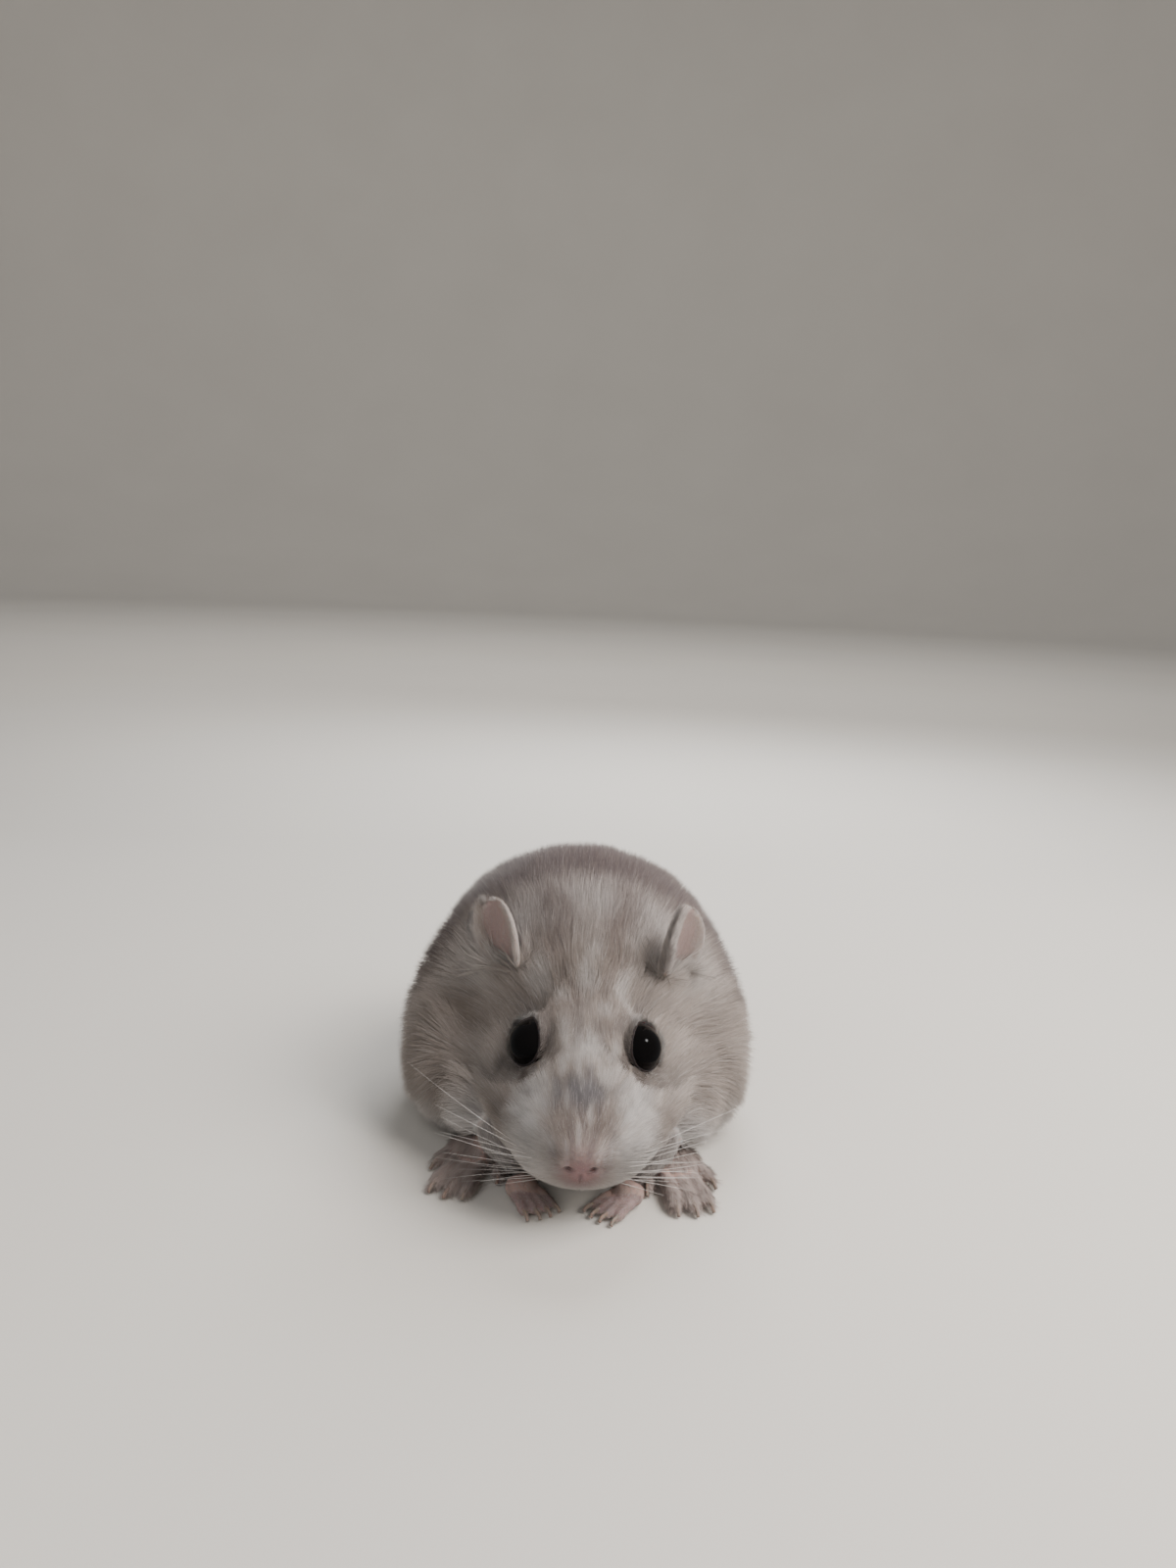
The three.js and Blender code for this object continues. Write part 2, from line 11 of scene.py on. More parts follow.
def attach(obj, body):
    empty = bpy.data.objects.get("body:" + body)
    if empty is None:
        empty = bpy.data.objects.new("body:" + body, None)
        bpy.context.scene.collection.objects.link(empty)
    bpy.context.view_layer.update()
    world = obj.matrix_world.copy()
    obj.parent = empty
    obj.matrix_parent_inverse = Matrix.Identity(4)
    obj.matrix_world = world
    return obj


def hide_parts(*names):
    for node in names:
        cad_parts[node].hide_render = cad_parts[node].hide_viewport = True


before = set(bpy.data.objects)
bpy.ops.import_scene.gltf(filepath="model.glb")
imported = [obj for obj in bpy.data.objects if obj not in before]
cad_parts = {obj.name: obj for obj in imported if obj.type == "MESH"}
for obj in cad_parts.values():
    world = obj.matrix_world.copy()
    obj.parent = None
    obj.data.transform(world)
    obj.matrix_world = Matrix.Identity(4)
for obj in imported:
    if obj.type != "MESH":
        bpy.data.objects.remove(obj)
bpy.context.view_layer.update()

bl_info = {
    "name": "Gerbil",
    "version": (1, 0, 0),
    "blender": (4, 5, 0),
    "location": "3D View > Sidebar > Gerbil",
    "description": "Makes the skin, coat, eyes, claws and whiskers of a crouched gerbil",
    "category": "Add Mesh",
}

MM = 0.001
FLESH = [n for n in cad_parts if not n.startswith("eye_")]

# The body's named sizes, in millimetres, as the frame was made from.
PITCH = math.radians(21)
NOSE = np.array([-34.0, 11.0])
EYE = {"behind": 20.3, "out": 7.2, "above": 2.6, "radius": 3.7}
# The lids' opening, as tangents of its half angles at the eye's centre: along it, up to its pointed corner,
# and across. It tapers towards the corner, and the skin's edge is a little wider than the solid's.
LID = {"along": 1.6, "corner": 2.35, "across": 1.2, "taper": 0.2, "wider": 1.03}
EAR = {
    "behind": 33,
    "out": 11.6,
    "above": 6.8,
    "length": 10.5,
    "sunk": 2,
    "half_width": 4.9,
    "thick": 1.1,
    "roll": (110, 38),  # degrees from the middle of its arc to its edge, at the root and the tip
    "narrows": 0.55,  # share of its length above which it narrows
    "bent": 1.2,
}
HAUNCH = {"out": 17, "y": 8, "z": 13.5, "halves": (11.5, 20.5, 14.8), "tilt": 14}
HIND_FOOT = {"length": 26, "heel_width": 5.2, "toe_width": 8.2, "height": 4.6, "claw": 2.1}
HAND = {"length": 4.8, "width": 4.9, "height": 3.0, "claw": 1.3}
ASIDE = -1.3  # how far the body behind the head stands to the right
# The left side, 1, and the right, -1: where a heel is, how far its toes turn out in degrees, and a hand's elbow.
HIND_FEET = {1: ((9, 1), 16), -1: ((-10, 2.5), -19)}
HANDS = {1: ((8.2, -21.2), -42, (13.0, -11.5, 9.5)), -1: ((-9.2, -20.4), 32, (-14, -10.5, 9.5))}
TAIL_PATH = [
    (0, 38, 12.5),
    (0.5, 46, 8.5),
    (4, 54.5, 3.6),
    (10.5, 62, 2.3),
    (13, 71, 2.1),
    (7, 79, 2.0),
    (-3, 81, 1.9),
    (-12, 76.5, 1.7),
    (-18, 69, 1.4),
]
TAIL_RADII = [5.2, 3.9, 3.1, 2.5, 2.4, 2.2, 2.0, 1.5, 0.9]

# The least heights above the floor, so that nothing passes through it.
LEAST_HEIGHT = {"flesh": 0.35, "skin": 0.3, "claws": 0.05, "tufts": 0.06, "whiskers": 0.1}
LEAST_RADIUS = 0.25  # of a limb before its ends are rounded
UPRIGHT = np.array([0.0, 0.0, 1.0])

# Names of the skin's parts on the paws
FORE = ("hand", "hand_digit")
HIND = ("foot", "foot_digit")
PAWS = FORE + HIND

# Steps of a curve: those worked out between two of its points, and those that a limb's path is read from
SPAN_STEPS = 60
PATH_POINTS = 400


# Maths on whole arrays
def through(values, place):
    """Catmull-Rom curve through evenly spaced rows of values, read at places from 0 to len(values) - 1."""
    values = np.asarray(values, float)
    last = len(values) - 1
    i = np.minimum(np.floor(place).astype(int), last - 1)
    a, b, c, d = (values[np.clip(i + k, 0, last)] for k in (-1, 0, 1, 2))
    u = (place - i).reshape(np.shape(place) + (1,) * (values.ndim - 1))
    into, out = (c - a) / 2, (d - b) / 2
    return (2 * b - 2 * c + into + out) * u**3 + (3 * c - 3 * b - 2 * into - out) * u**2 + into * u + b


def lerp(a, b, t):
    return a + (b - a) * t


def smoothstep(low, high, x):
    t = np.clip((x - low) / (high - low), 0, 1)
    return t * t * (3 - 2 * t)


def unit(v):
    return v / np.maximum(np.linalg.norm(v, axis=-1, keepdims=True), 1e-9)


def turns(count):
    """Even steps round a circle, in radians."""
    return np.arange(count) * 2 * math.pi / count


def ball(rows, around, gap):
    """Directions over a ball, in rows from pole to pole with a gap round each pole: (rows, around, 3)."""
    down = np.linspace(gap, math.pi - gap, rows)[:, None]
    turn = turns(around)[None]
    return np.stack([np.sin(down) * np.cos(turn), np.sin(down) * np.sin(turn), np.cos(down) + 0 * turn], -1)


def across_from(v, axis):
    """The part of v that is square to axis, of length 1."""
    axis = unit(axis)
    return unit(v - (v * axis).sum(-1, keepdims=True) * axis)


def in_head(behind, side, above):
    """A point of the head's frame: behind the nose along the head's axis, to its left, and above it."""
    c, s = math.cos(PITCH), math.sin(PITCH)
    behind, side, above = np.broadcast_arrays(*(np.asarray(v, float) for v in (behind, side, above)))
    return np.stack([side, NOSE[0] + behind * c - above * s, NOSE[1] + behind * s + above * c], -1)


def turned_in_head(behind, side, above):
    return unit(in_head(behind, side, above) - in_head(0, 0, 0))


def head_coordinates(points):
    """The inverse of in_head, as one array of behind, side, above."""
    c, s = math.cos(PITCH), math.sin(PITCH)
    y, z = points[..., 1] - NOSE[0], points[..., 2] - NOSE[1]
    return np.stack([y * c + z * s, points[..., 0], z * c - y * s], -1)


def centripetal(points, count):
    """Points and directions at even steps along the centripetal Catmull-Rom curve through points."""
    p = np.asarray(points, float)
    p = np.concatenate([[2 * p[0] - p[1]], p, [2 * p[-1] - p[-2]]])
    gaps = np.linalg.norm(np.diff(p, axis=0), axis=1) ** 0.5
    x0, x1, x2, x3 = p[:-3], p[1:-2], p[2:-1], p[3:]
    d0, d1, d2 = (gaps[k : len(gaps) - 2 + k, None] for k in range(3))
    t1 = ((x1 - x0) / d0 - (x2 - x0) / (d0 + d1) + (x2 - x1) / d1) * d1
    t2 = ((x2 - x1) / d1 - (x3 - x1) / (d1 + d2) + (x3 - x2) / d2) * d1
    u = np.linspace(0, 1, SPAN_STEPS, endpoint=False)[None, :, None]
    a, b, c, d = (v[:, None] for v in (x1, x2, t1, t2))
    fine = (2 * a - 2 * b + c + d) * u**3 + (3 * b - 3 * a - 2 * c - d) * u**2 + c * u + a
    fine = np.concatenate([fine.reshape(-1, 3), x2[-1:]])
    length = np.concatenate([[0], np.cumsum(np.linalg.norm(np.diff(fine, axis=0), axis=1))])
    even = np.linspace(0, length[-1], count)
    out = np.stack([np.interp(even, length, fine[:, k]) for k in range(3)], -1)
    return out, unit(np.gradient(out, axis=0))


# Closed surfaces
def closed(rings):
    """Corners and triangles of rings (rings, around, 3) joined along and round, and closed at the ends."""
    count, around = rings.shape[:2]
    points = np.concatenate([[rings[0].mean(0)], rings.reshape(-1, 3), [rings[-1].mean(0)]])
    at = 1 + np.arange(count)[:, None] * around + np.arange(around)[None]
    a, b = at[:-1], np.roll(at, -1, 1)[:-1]
    d, c = at[1:], np.roll(at, -1, 1)[1:]
    walls = [np.stack([a, b, c], -1), np.stack([a, c, d], -1)]
    near = np.stack([np.zeros(around, int), np.roll(at[0], -1), at[0]], -1)
    far = np.stack([np.full(around, len(points) - 1), at[-1], np.roll(at[-1], -1)], -1)
    faces = np.concatenate([near, *(w.reshape(-1, 3) for w in walls), far])
    return facing_out(points, faces)


def facing_out(points, faces):
    """The same surface, turned round if its signed volume is negative."""
    a, b, c = (points[faces[:, k]] for k in range(3))
    return points, (faces[:, ::-1] if (a * np.cross(b, c)).sum() < 0 else faces)


def joined(parts):
    """Several surfaces as one pair of corners and triangles."""
    starts = np.cumsum([0] + [len(points) for points, _ in parts[:-1]])
    faces = [corners + start for (_, corners), start in zip(parts, starts)]
    return np.concatenate([points for points, _ in parts]), np.concatenate(faces)


def limb(points, radii, steps=40, around=20, flat=1.0, inside=0.0, round_ends=True):
    """Rings round a curve: the radius follows a list of sizes, less the coat's depth inside, and flat
    squeezes it upright. The radius falls to nothing over its own length at each end, as on a ball."""
    path, ahead = centripetal(points, PATH_POINTS)
    t = np.linspace(0, 1, steps)
    take = t * (PATH_POINTS - 1)
    at = through(path, take)
    ahead = unit(through(ahead, take))
    radius = np.maximum(through(radii, t * (len(radii) - 1)) - inside, LEAST_RADIUS)
    if round_ends:
        run = np.linalg.norm(path[1:] - path[:-1], axis=1).sum()
        for share in (t, 1 - t):
            near = np.clip(share * run / radius, 0.02, 1)
            radius = radius * np.sqrt(1 - (1 - near) ** 2)
    side = unit(np.stack([-ahead[:, 1], ahead[:, 0], np.zeros(steps)], -1))
    up = np.cross(ahead, side)
    up = np.where(up[:, 2:] < 0, -up, up)
    angle = turns(around)[None, :, None]
    ring = side[:, None] * np.cos(angle) + up[:, None] * (flat * np.sin(angle))
    return closed(at[:, None] + radius[:, None, None] * ring)


# The body from nose to rump
# Each row: y and z of the back's line, y and z of the belly's line, half the width, how far up it is
# widest, and how far its lower half swells out. The head's rows are worked out from their distance behind
# the nose.
def head_row(behind, half, up, down, cheek=0.0):
    top, bottom = in_head(behind, 0, up), in_head(behind, 0, -down)
    return [*top[1:], *bottom[1:], half, down / ((up + down) or 1), cheek]


SECTIONS = np.array(
    [
        head_row(0, 0, 0, 0),
        head_row(0.5, 2.7, 1.7, 2.9),
        head_row(1.7, 4.9, 2.9, 5.7),
        head_row(3.8, 7.6, 4.1, 8.3, 0.6),
        head_row(7, 9.4, 5.1, 9.6, 2.4),
        head_row(12, 9.0, 6.6, 10.2, 7.0),
        head_row(17.5, 8.6, 8.0, 10.8, 10.2),
        head_row(24, 10.0, 9.6, 11.4, 10),
        [-12, 32, -6.6, 5.4, 14.8, 0.42, 7.6],
        [-6.5, 37, -6.6, 2.6, 18.8, 0.43, 6.4],
        [-0.5, 40.6, -5.5, 0.6, 22.4, 0.43, 5.2],
        [7, 42.8, -1, -0.8, 25.2, 0.43, 3],
        [16, 43, 9, -0.9, 26.2, 0.41, 0],
        [25, 40.8, 20, -0.9, 26.2, 0.39, 0],
        [33.5, 36.4, 30, -0.2, 24.2, 0.38, 0],
        [41, 29, 38.5, 2, 19.8, 0.38, 0],
        [46.2, 21, 44.5, 6.6, 12.5, 0.42, 0],
        [48.4, 13, 48.4, 13, 0, 0.5, 0],
    ]
)
HEAD_ENDS, NECK_ENDS, RUMP_ENDS = 9.4, 10.8, 16.9
CHEEK_TURN, CHEEK_REACH = math.radians(-27), math.radians(36)
# Each row: its place in the head's frame, its reach and its height.
SWELLINGS = [
    ((4.2, 5.0, -3.4), 3.2, 1.1),  # whisker pads
    ((0.6, 1.4, 0.4), 1.4, 0.35),  # wings of the nose
    ((0.9, 0, -2.2), 0.9, -0.5),  # groove under the nose
    ((20.0, 5.4, 7.8), 3.4, 0.6),  # brows
    ((20.5, 9.2, 3.6), 3.8, -0.7),  # eye sockets
    ((6.6, 0, -9.8), 2.4, 0.4),  # chin
]


def body_surface(place, angle):
    """A point of the coat's outer form: an oval ring whose half width and centre line follow the sections
    at place, with a bell-shaped swelling for the cheek and one for each of the swellings of the head."""
    rows = through(SECTIONS, place)
    top, bottom = rows[..., 0:2], rows[..., 2:4]
    half, waist, cheek = rows[..., 4], rows[..., 5:6], rows[..., 6]
    middle = lerp(bottom, top, waist)
    c, s = np.cos(angle), np.sin(angle)
    towards = np.where((s >= 0)[..., None], top, bottom)
    swell = cheek * np.exp(-(((np.arcsin(s) - CHEEK_TURN) / CHEEK_REACH) ** 2))
    wide = np.maximum(half, 0) + swell
    yz = lerp(middle, towards, np.abs(s)[..., None])
    p = np.concatenate([(c * wide)[..., None], yz], -1)
    centre = np.concatenate([np.zeros_like(wide)[..., None], middle], -1)
    outwards = unit(p - centre)
    for (behind, side, above), reach, high in SWELLINGS:
        for x in {side, -side}:
            gone = ((p - in_head(behind, x, above)) ** 2).sum(-1, keepdims=True)
            p = p + outwards * high * np.exp(-gone / reach**2)
    p[..., 0] += ASIDE * smoothstep(HEAD_ENDS - 2, NECK_ENDS + 1, place)
    return p


# The coat's guides
GUIDE_SPREAD = 8
GUIDE_BATCH = 20000
# Each row: its frame, a place on the coat, the way that the hair lies there, the coat's depth and the
# length of its tufts, in millimetres. Places with a side stand for both sides. The rest of the coat is
# blended from them.
GUIDES = [
    ("head", (0.3, 0, 0.4), (0.7, 0, 0.7), 0.12, 0.7),
    ("head", (0.8, 1.8, -0.6), (0.7, 0.7, 0), 0.15, 0.9),
    ("head", (3.5, 0, 3.8), (1, 0, 0.35), 0.5, 1.5),
    ("head", (7.5, 0, 5.3), (1, 0, 0.25), 0.9, 2.2),
    ("head", (12, 0, 6.8), (1, 0, 0.2), 1.2, 2.9),
    ("head", (12, 5, 5), (1, 0.25, 0.2), 1.2, 2.8),
    ("head", (18, 0, 8.4), (1, 0, 0.2), 1.7, 3.8),
    ("head", (19.5, 4.6, 7.6), (1, 0.1, 0.3), 1.3, 3.0),
    ("head", (25, 0, 10.2), (1, 0, 0.3), 2.3, 5.0),
    ("head", (26, 7, 8.5), (1, 0.15, 0.3), 2.2, 4.6),
    ("head", (31, 0, 12.4), (1, 0, 0.3), 2.9, 6.2),
    ("head", (32, 8, 11.5), (1, -0.1, 0.35), 2.6, 5.4),
    ("head", (2.2, 4.2, -1), (0.6, 0.8, -0.1), 0.45, 1.7),
    ("head", (5, 6.6, -3), (0.7, 0.7, -0.25), 0.8, 2.6),
    ("head", (3.4, 2.2, -6.4), (0.3, 0.5, -0.8), 0.5, 1.6),
    ("head", (9, 8.6, -2), (0.9, 0.45, -0.2), 1.2, 3.2),
    ("head", (12.5, 8.5, 2), (1, 0.35, 0.1), 1.3, 2.8),
    ("head", (15, 12, -4), (0.9, 0.35, -0.35), 2.0, 4.4),
    ("head", (17, 10.5, 0.5), (0.95, 0.3, -0.25), 1.6, 3.0),
    ("head", (22, 15.5, -3), (0.9, 0.3, -0.4), 2.9, 5.8),
    ("head", (24, 12, 3.5), (1, 0.25, 0), 2.0, 4.0),
    ("head", (28, 13.5, 5), (0.9, 0.3, 0.1), 2.6, 5.0),
    ("head", (29, 18, -3), (0.9, 0.3, -0.4), 3.4, 7.0),
    ("head", (7, 0, -9.8), (0.9, 0, -0.4), 0.9, 2.4),
    ("head", (13, 5, -10), (0.9, 0.2, -0.4), 1.7, 3.8),
    ("head", (20, 6, -11), (0.9, 0.2, -0.4), 2.2, 4.6),
    ("body", (0, -6, 37.3), (0, 0.9, 0.5), 3.3, 7.2),
    ("body", (9, -6, 34.5), (0.1, 0.9, 0.45), 3.2, 6.8),
    ("body", (0, 3, 42), (0, 1, 0.3), 3.9, 8.4),
    ("body", (16, -2, 33), (0.4, 0.9, 0.1), 3.6, 7.6),
    ("body", (0, 16, 43), (0, 1, -0.05), 4.2, 8.8),
    ("body", (15, 12, 37), (0.25, 1, -0.1), 4.2, 8.8),
    ("body", (0, 27, 40), (0, 1, -0.4), 4.3, 9.2),
    ("body", (0, 37, 33), (0, 0.8, -0.8), 4.2, 9.0),
    ("body", (16, 33, 28), (0.3, 0.9, -0.6), 4.2, 9.0),
    ("body", (0, 46, 20), (0, 0.4, -1), 3.2, 7.0),
    ("body", (22, 2, 25), (0.4, 0.9, -0.5), 3.9, 8.2),
    ("body", (24, 16, 22), (0.15, 1, -0.5), 4.0, 8.6),
    ("body", (23, 26, 16), (0.1, 0.9, -0.6), 4.0, 8.6),
    ("body", (27.5, 6, 14), (0.2, 0.7, -0.8), 3.6, 8.2),
    ("body", (25, -6, 15), (0.7, 0.1, -0.8), 3.2, 7.0),
    ("body", (19, -12, 12), (0.5, -0.1, -0.9), 2.2, 5.0),
    ("body", (25, 2, 4), (0.5, 0.6, -0.6), 1.6, 4.6),
    ("body", (25, 16, 4), (0.3, 0.9, -0.5), 1.6, 5.0),
    ("body", (16, 40, 8), (0.1, 0.9, -0.5), 2.6, 6.4),
    ("body", (0, 46, 6), (0, 0.9, -0.5), 1.8, 4.6),
    ("body", (0, -10, 6), (0, 0.4, -0.9), 2.0, 4.6),
    ("body", (8, -8, 3), (0, 0.7, -0.7), 1.4, 3.6),
    ("body", (10, 10, -0.5), (0, 1, 0), 0.8, 3.0),
    ("body", (10, 28, -0.5), (0, 1, 0), 0.8, 3.0),
]


def guide_table():
    """The guides on both sides: places, directions, depths and lengths."""
    rows = []
    for kind, place, lie, depth, length in GUIDES:
        for sign in (1, -1) if place[1 if kind == "head" else 0] else (1,):
            if kind == "head":
                p = in_head(place[0], sign * place[1], place[2])
                d = turned_in_head(lie[0], sign * lie[1], lie[2])
            else:
                p = np.array([sign * place[0] + ASIDE, place[1], place[2]], float)
                d = unit(np.array([sign * lie[0], lie[1], lie[2]], float))
            rows.append([*p, *d, depth, length])
    table = np.array(rows)
    return table[:, :3], table[:, 3:]


def guided(points):
    """Direction, depth and length of the coat: means of the guides, weighted by 1 / (gap^2 + spread)^2."""
    where, what = guide_table()
    out = np.empty((len(points), what.shape[1]))
    for start in range(0, len(points), GUIDE_BATCH):
        batch = slice(start, start + GUIDE_BATCH)
        gap = ((points[batch, None] - where[None]) ** 2).sum(-1)
        weight = 1 / (gap + GUIDE_SPREAD) ** 2
        out[batch] = (weight @ what) / weight.sum(1, keepdims=True)
    return out[:, :3], out[:, 3], out[:, 4]


# Feet, legs, ears and tail
def foot_place(heel, turn):
    """A function from a place on a turned foot, ahead of its heel and to its side, to the model's frame."""
    a = math.radians(turn)

    def place(ahead, aside, height):
        x = heel[0] + ahead * math.sin(a) + aside * math.cos(a)
        y = heel[1] - ahead * math.cos(a) + aside * math.sin(a)
        return (x, y, height)

    return place


def digit_paths(place, start, aside, fan, length, radius, claw, height):
    """The paths and radii of a digit, which arches to the floor, and of its claw."""

    def at(share, z):
        return place(start + length * share, aside + fan * share, z)

    toe = [
        at(-0.25, height),
        at(0.2, height + radius * 0.25),
        at(0.65, radius * 1.05),
        at(1, radius * 0.8),
    ]
    pads = [radius * 1.05, radius, radius * 0.86, radius * 0.98, radius * 0.66]
    reach = claw / length
    nail = [
        at(0.86, radius * 1.2),
        at(1 + reach * 0.5, radius * 1.05),
        at(1 + reach * 0.85, radius * 0.3 + 0.1),
    ]
    return (toe, pads), (nail, [radius * 0.42, radius * 0.3, 0.08])


def hind_foot(sign):
    """Path and radii of a hind foot, how flat it is, and its five digits."""
    heel, turn = HIND_FEET[sign]
    place = foot_place(heel, turn)
    long, heel_width, toe_width = (HIND_FOOT[size] for size in ("length", "heel_width", "toe_width"))
    path = [place(long * share, 0, high) for share, high in ((0, 2.6), (0.33, 2.2), (0.62, 1.9), (0.74, 1.6))]
    radii = [heel_width * 0.42, heel_width * 0.52, toe_width * 0.44, toe_width * 0.4]
    digits = []
    for across in (-2, -1, 0, 1, 2):
        outer = abs(across) == 2
        digits.append(
            digit_paths(
                place,
                start=long * (0.52 if outer else 0.68),
                aside=sign * across * toe_width * 0.2,
                fan=sign * across * 0.8,
                length=6.2 if outer else 8.6 - abs(across) * 0.6,
                radius=1.05,
                claw=HIND_FOOT["claw"],
                height=1.5,
            )
        )
    return (path, radii), HIND_FOOT["height"] / toe_width + 0.12, digits


def hand(sign):
    """Path and radii of a hand, how flat it is, and its four digits."""
    heel, turn, _ = HANDS[sign]
    place = foot_place(heel, turn)
    long, wide = HAND["length"], HAND["width"]
    path = [place(ahead, 0, high) for ahead, high in ((-0.6, 2.0), (long * 0.5, 1.5), (long * 0.9, 1.2))]
    radii = [wide * 0.4, wide * 0.5, wide * 0.42]
    digits = [
        digit_paths(
            place,
            start=long * 0.75,
            aside=across * wide * 0.24,
            fan=across * 0.4,
            length=4.4 - abs(across) * 0.5,
            radius=0.78,
            claw=HAND["claw"],
            height=1.1,
        )
        for across in (-1.5, -0.5, 0.5, 1.5)
    ]
    return (path, radii), HAND["height"] / wide + 0.12, digits


def foreleg(sign):
    """Path and radii of a foreleg, from the shoulder to the wrist."""
    heel, _, elbow = HANDS[sign]
    shoulder = (elbow[0] * 0.85, elbow[1] + 9, elbow[2] + 5)
    wrist = (heel[0] + sign * 0.4, heel[1] + 0.8, 3.1)
    bend = (lerp(elbow[0], heel[0], 0.5) + sign * 0.4, lerp(elbow[1], heel[1], 0.55), 6.2)
    return [shoulder, elbow, bend, wrist], [8, 7.2, 4.6, 2.5]


def ear_axes(sign):
    """The root of an ear, its way up, the way that it opens and its side."""
    root = in_head(EAR["behind"], sign * EAR["out"], EAR["above"])
    up = turned_in_head(0.22, sign * 0.34, 0.9)
    opening = across_from(turned_in_head(-0.8, sign * (0.85 if sign > 0 else 0.5), 0.1), up)
    return root, up, opening, unit(np.cross(opening, up))


def ear_sheet(sign, a, b, outer):
    """A point of an ear: an arc across it, rolled in at its base and open to a shallow cup towards its
    round tip. a runs up it, b across it from -1 to 1, and outer is 1 on its back, -1 in its cup and 0
    between them."""
    root, up, opening, side = ear_axes(sign)
    roll = np.radians(lerp(*EAR["roll"], a**0.6))
    wider = np.minimum(a / EAR["narrows"], 1)
    narrowing = np.maximum(a - EAR["narrows"], 0) / (1 - EAR["narrows"])
    half_arc = EAR["half_width"] * lerp(0.7, 1, wider) * np.sqrt(np.maximum(1 - narrowing**2, 0))
    radius = half_arc / roll
    thick = EAR["thick"] * lerp(1, 0.8, a) * lerp(1, 0.85, b * b)
    r = radius + outer * thick / 2
    rise = ((EAR["length"] + EAR["sunk"]) * a - EAR["sunk"])[..., None] * up
    wide = (r * np.sin(b * roll))[..., None] * side
    deep = (radius - r * np.cos(b * roll) - EAR["bent"] * a * a)[..., None] * opening
    return root + rise + wide + deep


def ear(sign):
    """An ear as closed rings: each goes across its back and returns through its cup."""
    a = np.sin(math.pi / 2 * np.linspace(0, 0.985, 40))[:, None]
    b = np.linspace(-1, 1, 25)[None]
    back = ear_sheet(sign, a + 0 * b, b + 0 * a, 1)
    cup = ear_sheet(sign, a + 0 * b, b[:, ::-1] + 0 * a, -1)
    return closed(np.concatenate([back, cup], 1))


# The skin
def inset_grid(points, depth):
    """A closed grid (along, around, 3) moved inwards by depth along normals that come from its own steps."""
    along = np.gradient(points, axis=0)
    round_ = (np.roll(points, -1, 1) - np.roll(points, 1, 1)) / 2
    normal = unit(np.cross(round_, along))
    centre = points.mean(1, keepdims=True)
    flip = np.sign((normal * (points - centre)).sum(-1).mean())
    return points - flip * normal * depth[..., None]


def under_coat(outer):
    """The closed skin under a grid of the coat's outer form, inset by the coat's depth."""
    _, depth, _ = guided(outer.reshape(-1, 3))
    return closed(inset_grid(outer, depth.reshape(outer.shape[:2])))


def body_skin():
    head = np.linspace(0.12, HEAD_ENDS, 150)
    behind = np.linspace(HEAD_ENDS, RUMP_ENDS, 110)[1:]
    place = np.concatenate([head, behind])[:, None]
    angle = turns(128)[None]
    return under_coat(body_surface(place + 0 * angle, angle + 0 * place))


def haunch_skin(sign):
    """An ellipsoid, tilted back and inset by the coat's depth."""
    up = np.linspace(-math.pi / 2, math.pi / 2, 60)[1:-1, None]
    turn = turns(80)[None]
    p = np.stack([np.sin(up) + 0 * turn, np.cos(up) * np.cos(turn), np.cos(up) * np.sin(turn)], -1)
    p = p * np.array(HAUNCH["halves"])
    tilt = math.radians(HAUNCH["tilt"])
    y, z = p[..., 1].copy(), p[..., 2].copy()
    p[..., 1] = y * math.cos(tilt) - z * math.sin(tilt)
    p[..., 2] = y * math.sin(tilt) + z * math.cos(tilt)
    return under_coat(p + [ASIDE + sign * HAUNCH["out"], HAUNCH["y"], HAUNCH["z"]])


def eye_centre(sign):
    return in_head(EYE["behind"], sign * EYE["out"], EYE["above"])


def eye_axis(sign):
    """The way that an eye looks."""
    return turned_in_head(-0.55, sign, 0.85)


def flesh():
    """All closed forms of the skin, in millimetres."""
    forms = [body_skin(), limb(TAIL_PATH, TAIL_RADII, steps=140, inside=1.15)]
    for sign in (1, -1):
        forms += [haunch_skin(sign), ear(sign)]
        path, radii = foreleg(sign)
        forms.append(limb(path, radii, inside=1.2, around=28))
        for (path, radii), flat, digits in (hind_foot(sign), hand(sign)):
            forms.append(limb(path, radii, flat=flat, around=28))
            forms += [limb(path, radii, steps=30) for (path, radii), _ in digits]
        forms.append(closed(eye_centre(sign) + ball(30, 36, 0.05) * (EYE["radius"] + 0.1)))
    points, faces = joined(forms)
    points[:, 2] = np.maximum(points[:, 2], LEAST_HEIGHT["flesh"])
    return points, faces


def lid_distance(points, sign):
    """How far outside the edge of the lids each point is, in millimetres along the eyeball, and its
    distance and direction from the eye's centre. The edge is an oval with a pointed upper back corner."""
    axis = eye_axis(sign)
    long = across_from(turned_in_head(0.8, 0, 0.6), axis)
    wide = unit(np.cross(long, axis))
    v = points - eye_centre(sign)
    r = np.linalg.norm(v, axis=1)
    d = v / np.maximum(r, 1e-6)[:, None]
    x, y = d @ long, d @ wide
    # The oval's half sizes change with its own angle, so they are found in a few rounds.
    a, b = np.full(len(points), LID["along"]), np.full(len(points), LID["across"])
    for _ in range(5):
        turn = np.arctan2(y / b, x / a)
        a = lerp(LID["along"], LID["corner"], np.maximum(np.cos(turn), 0) ** 5)
        b = LID["across"] * (1 - LID["taper"] * np.cos(turn))
    edge = np.hypot(a * np.cos(turn), b * np.sin(turn)) * LID["wider"]
    away = (np.arctan2(np.hypot(x, y), d @ axis) - np.arctan(edge)) * EYE["radius"]
    return away, r, d


def mouth_line():
    """Points along the mouth, from corner to corner under the muzzle."""
    u = np.linspace(-1, 1, 41)
    return body_surface(2.5 + 1.9 * np.abs(u) ** 1.5, np.radians(-90 + 52 * u))


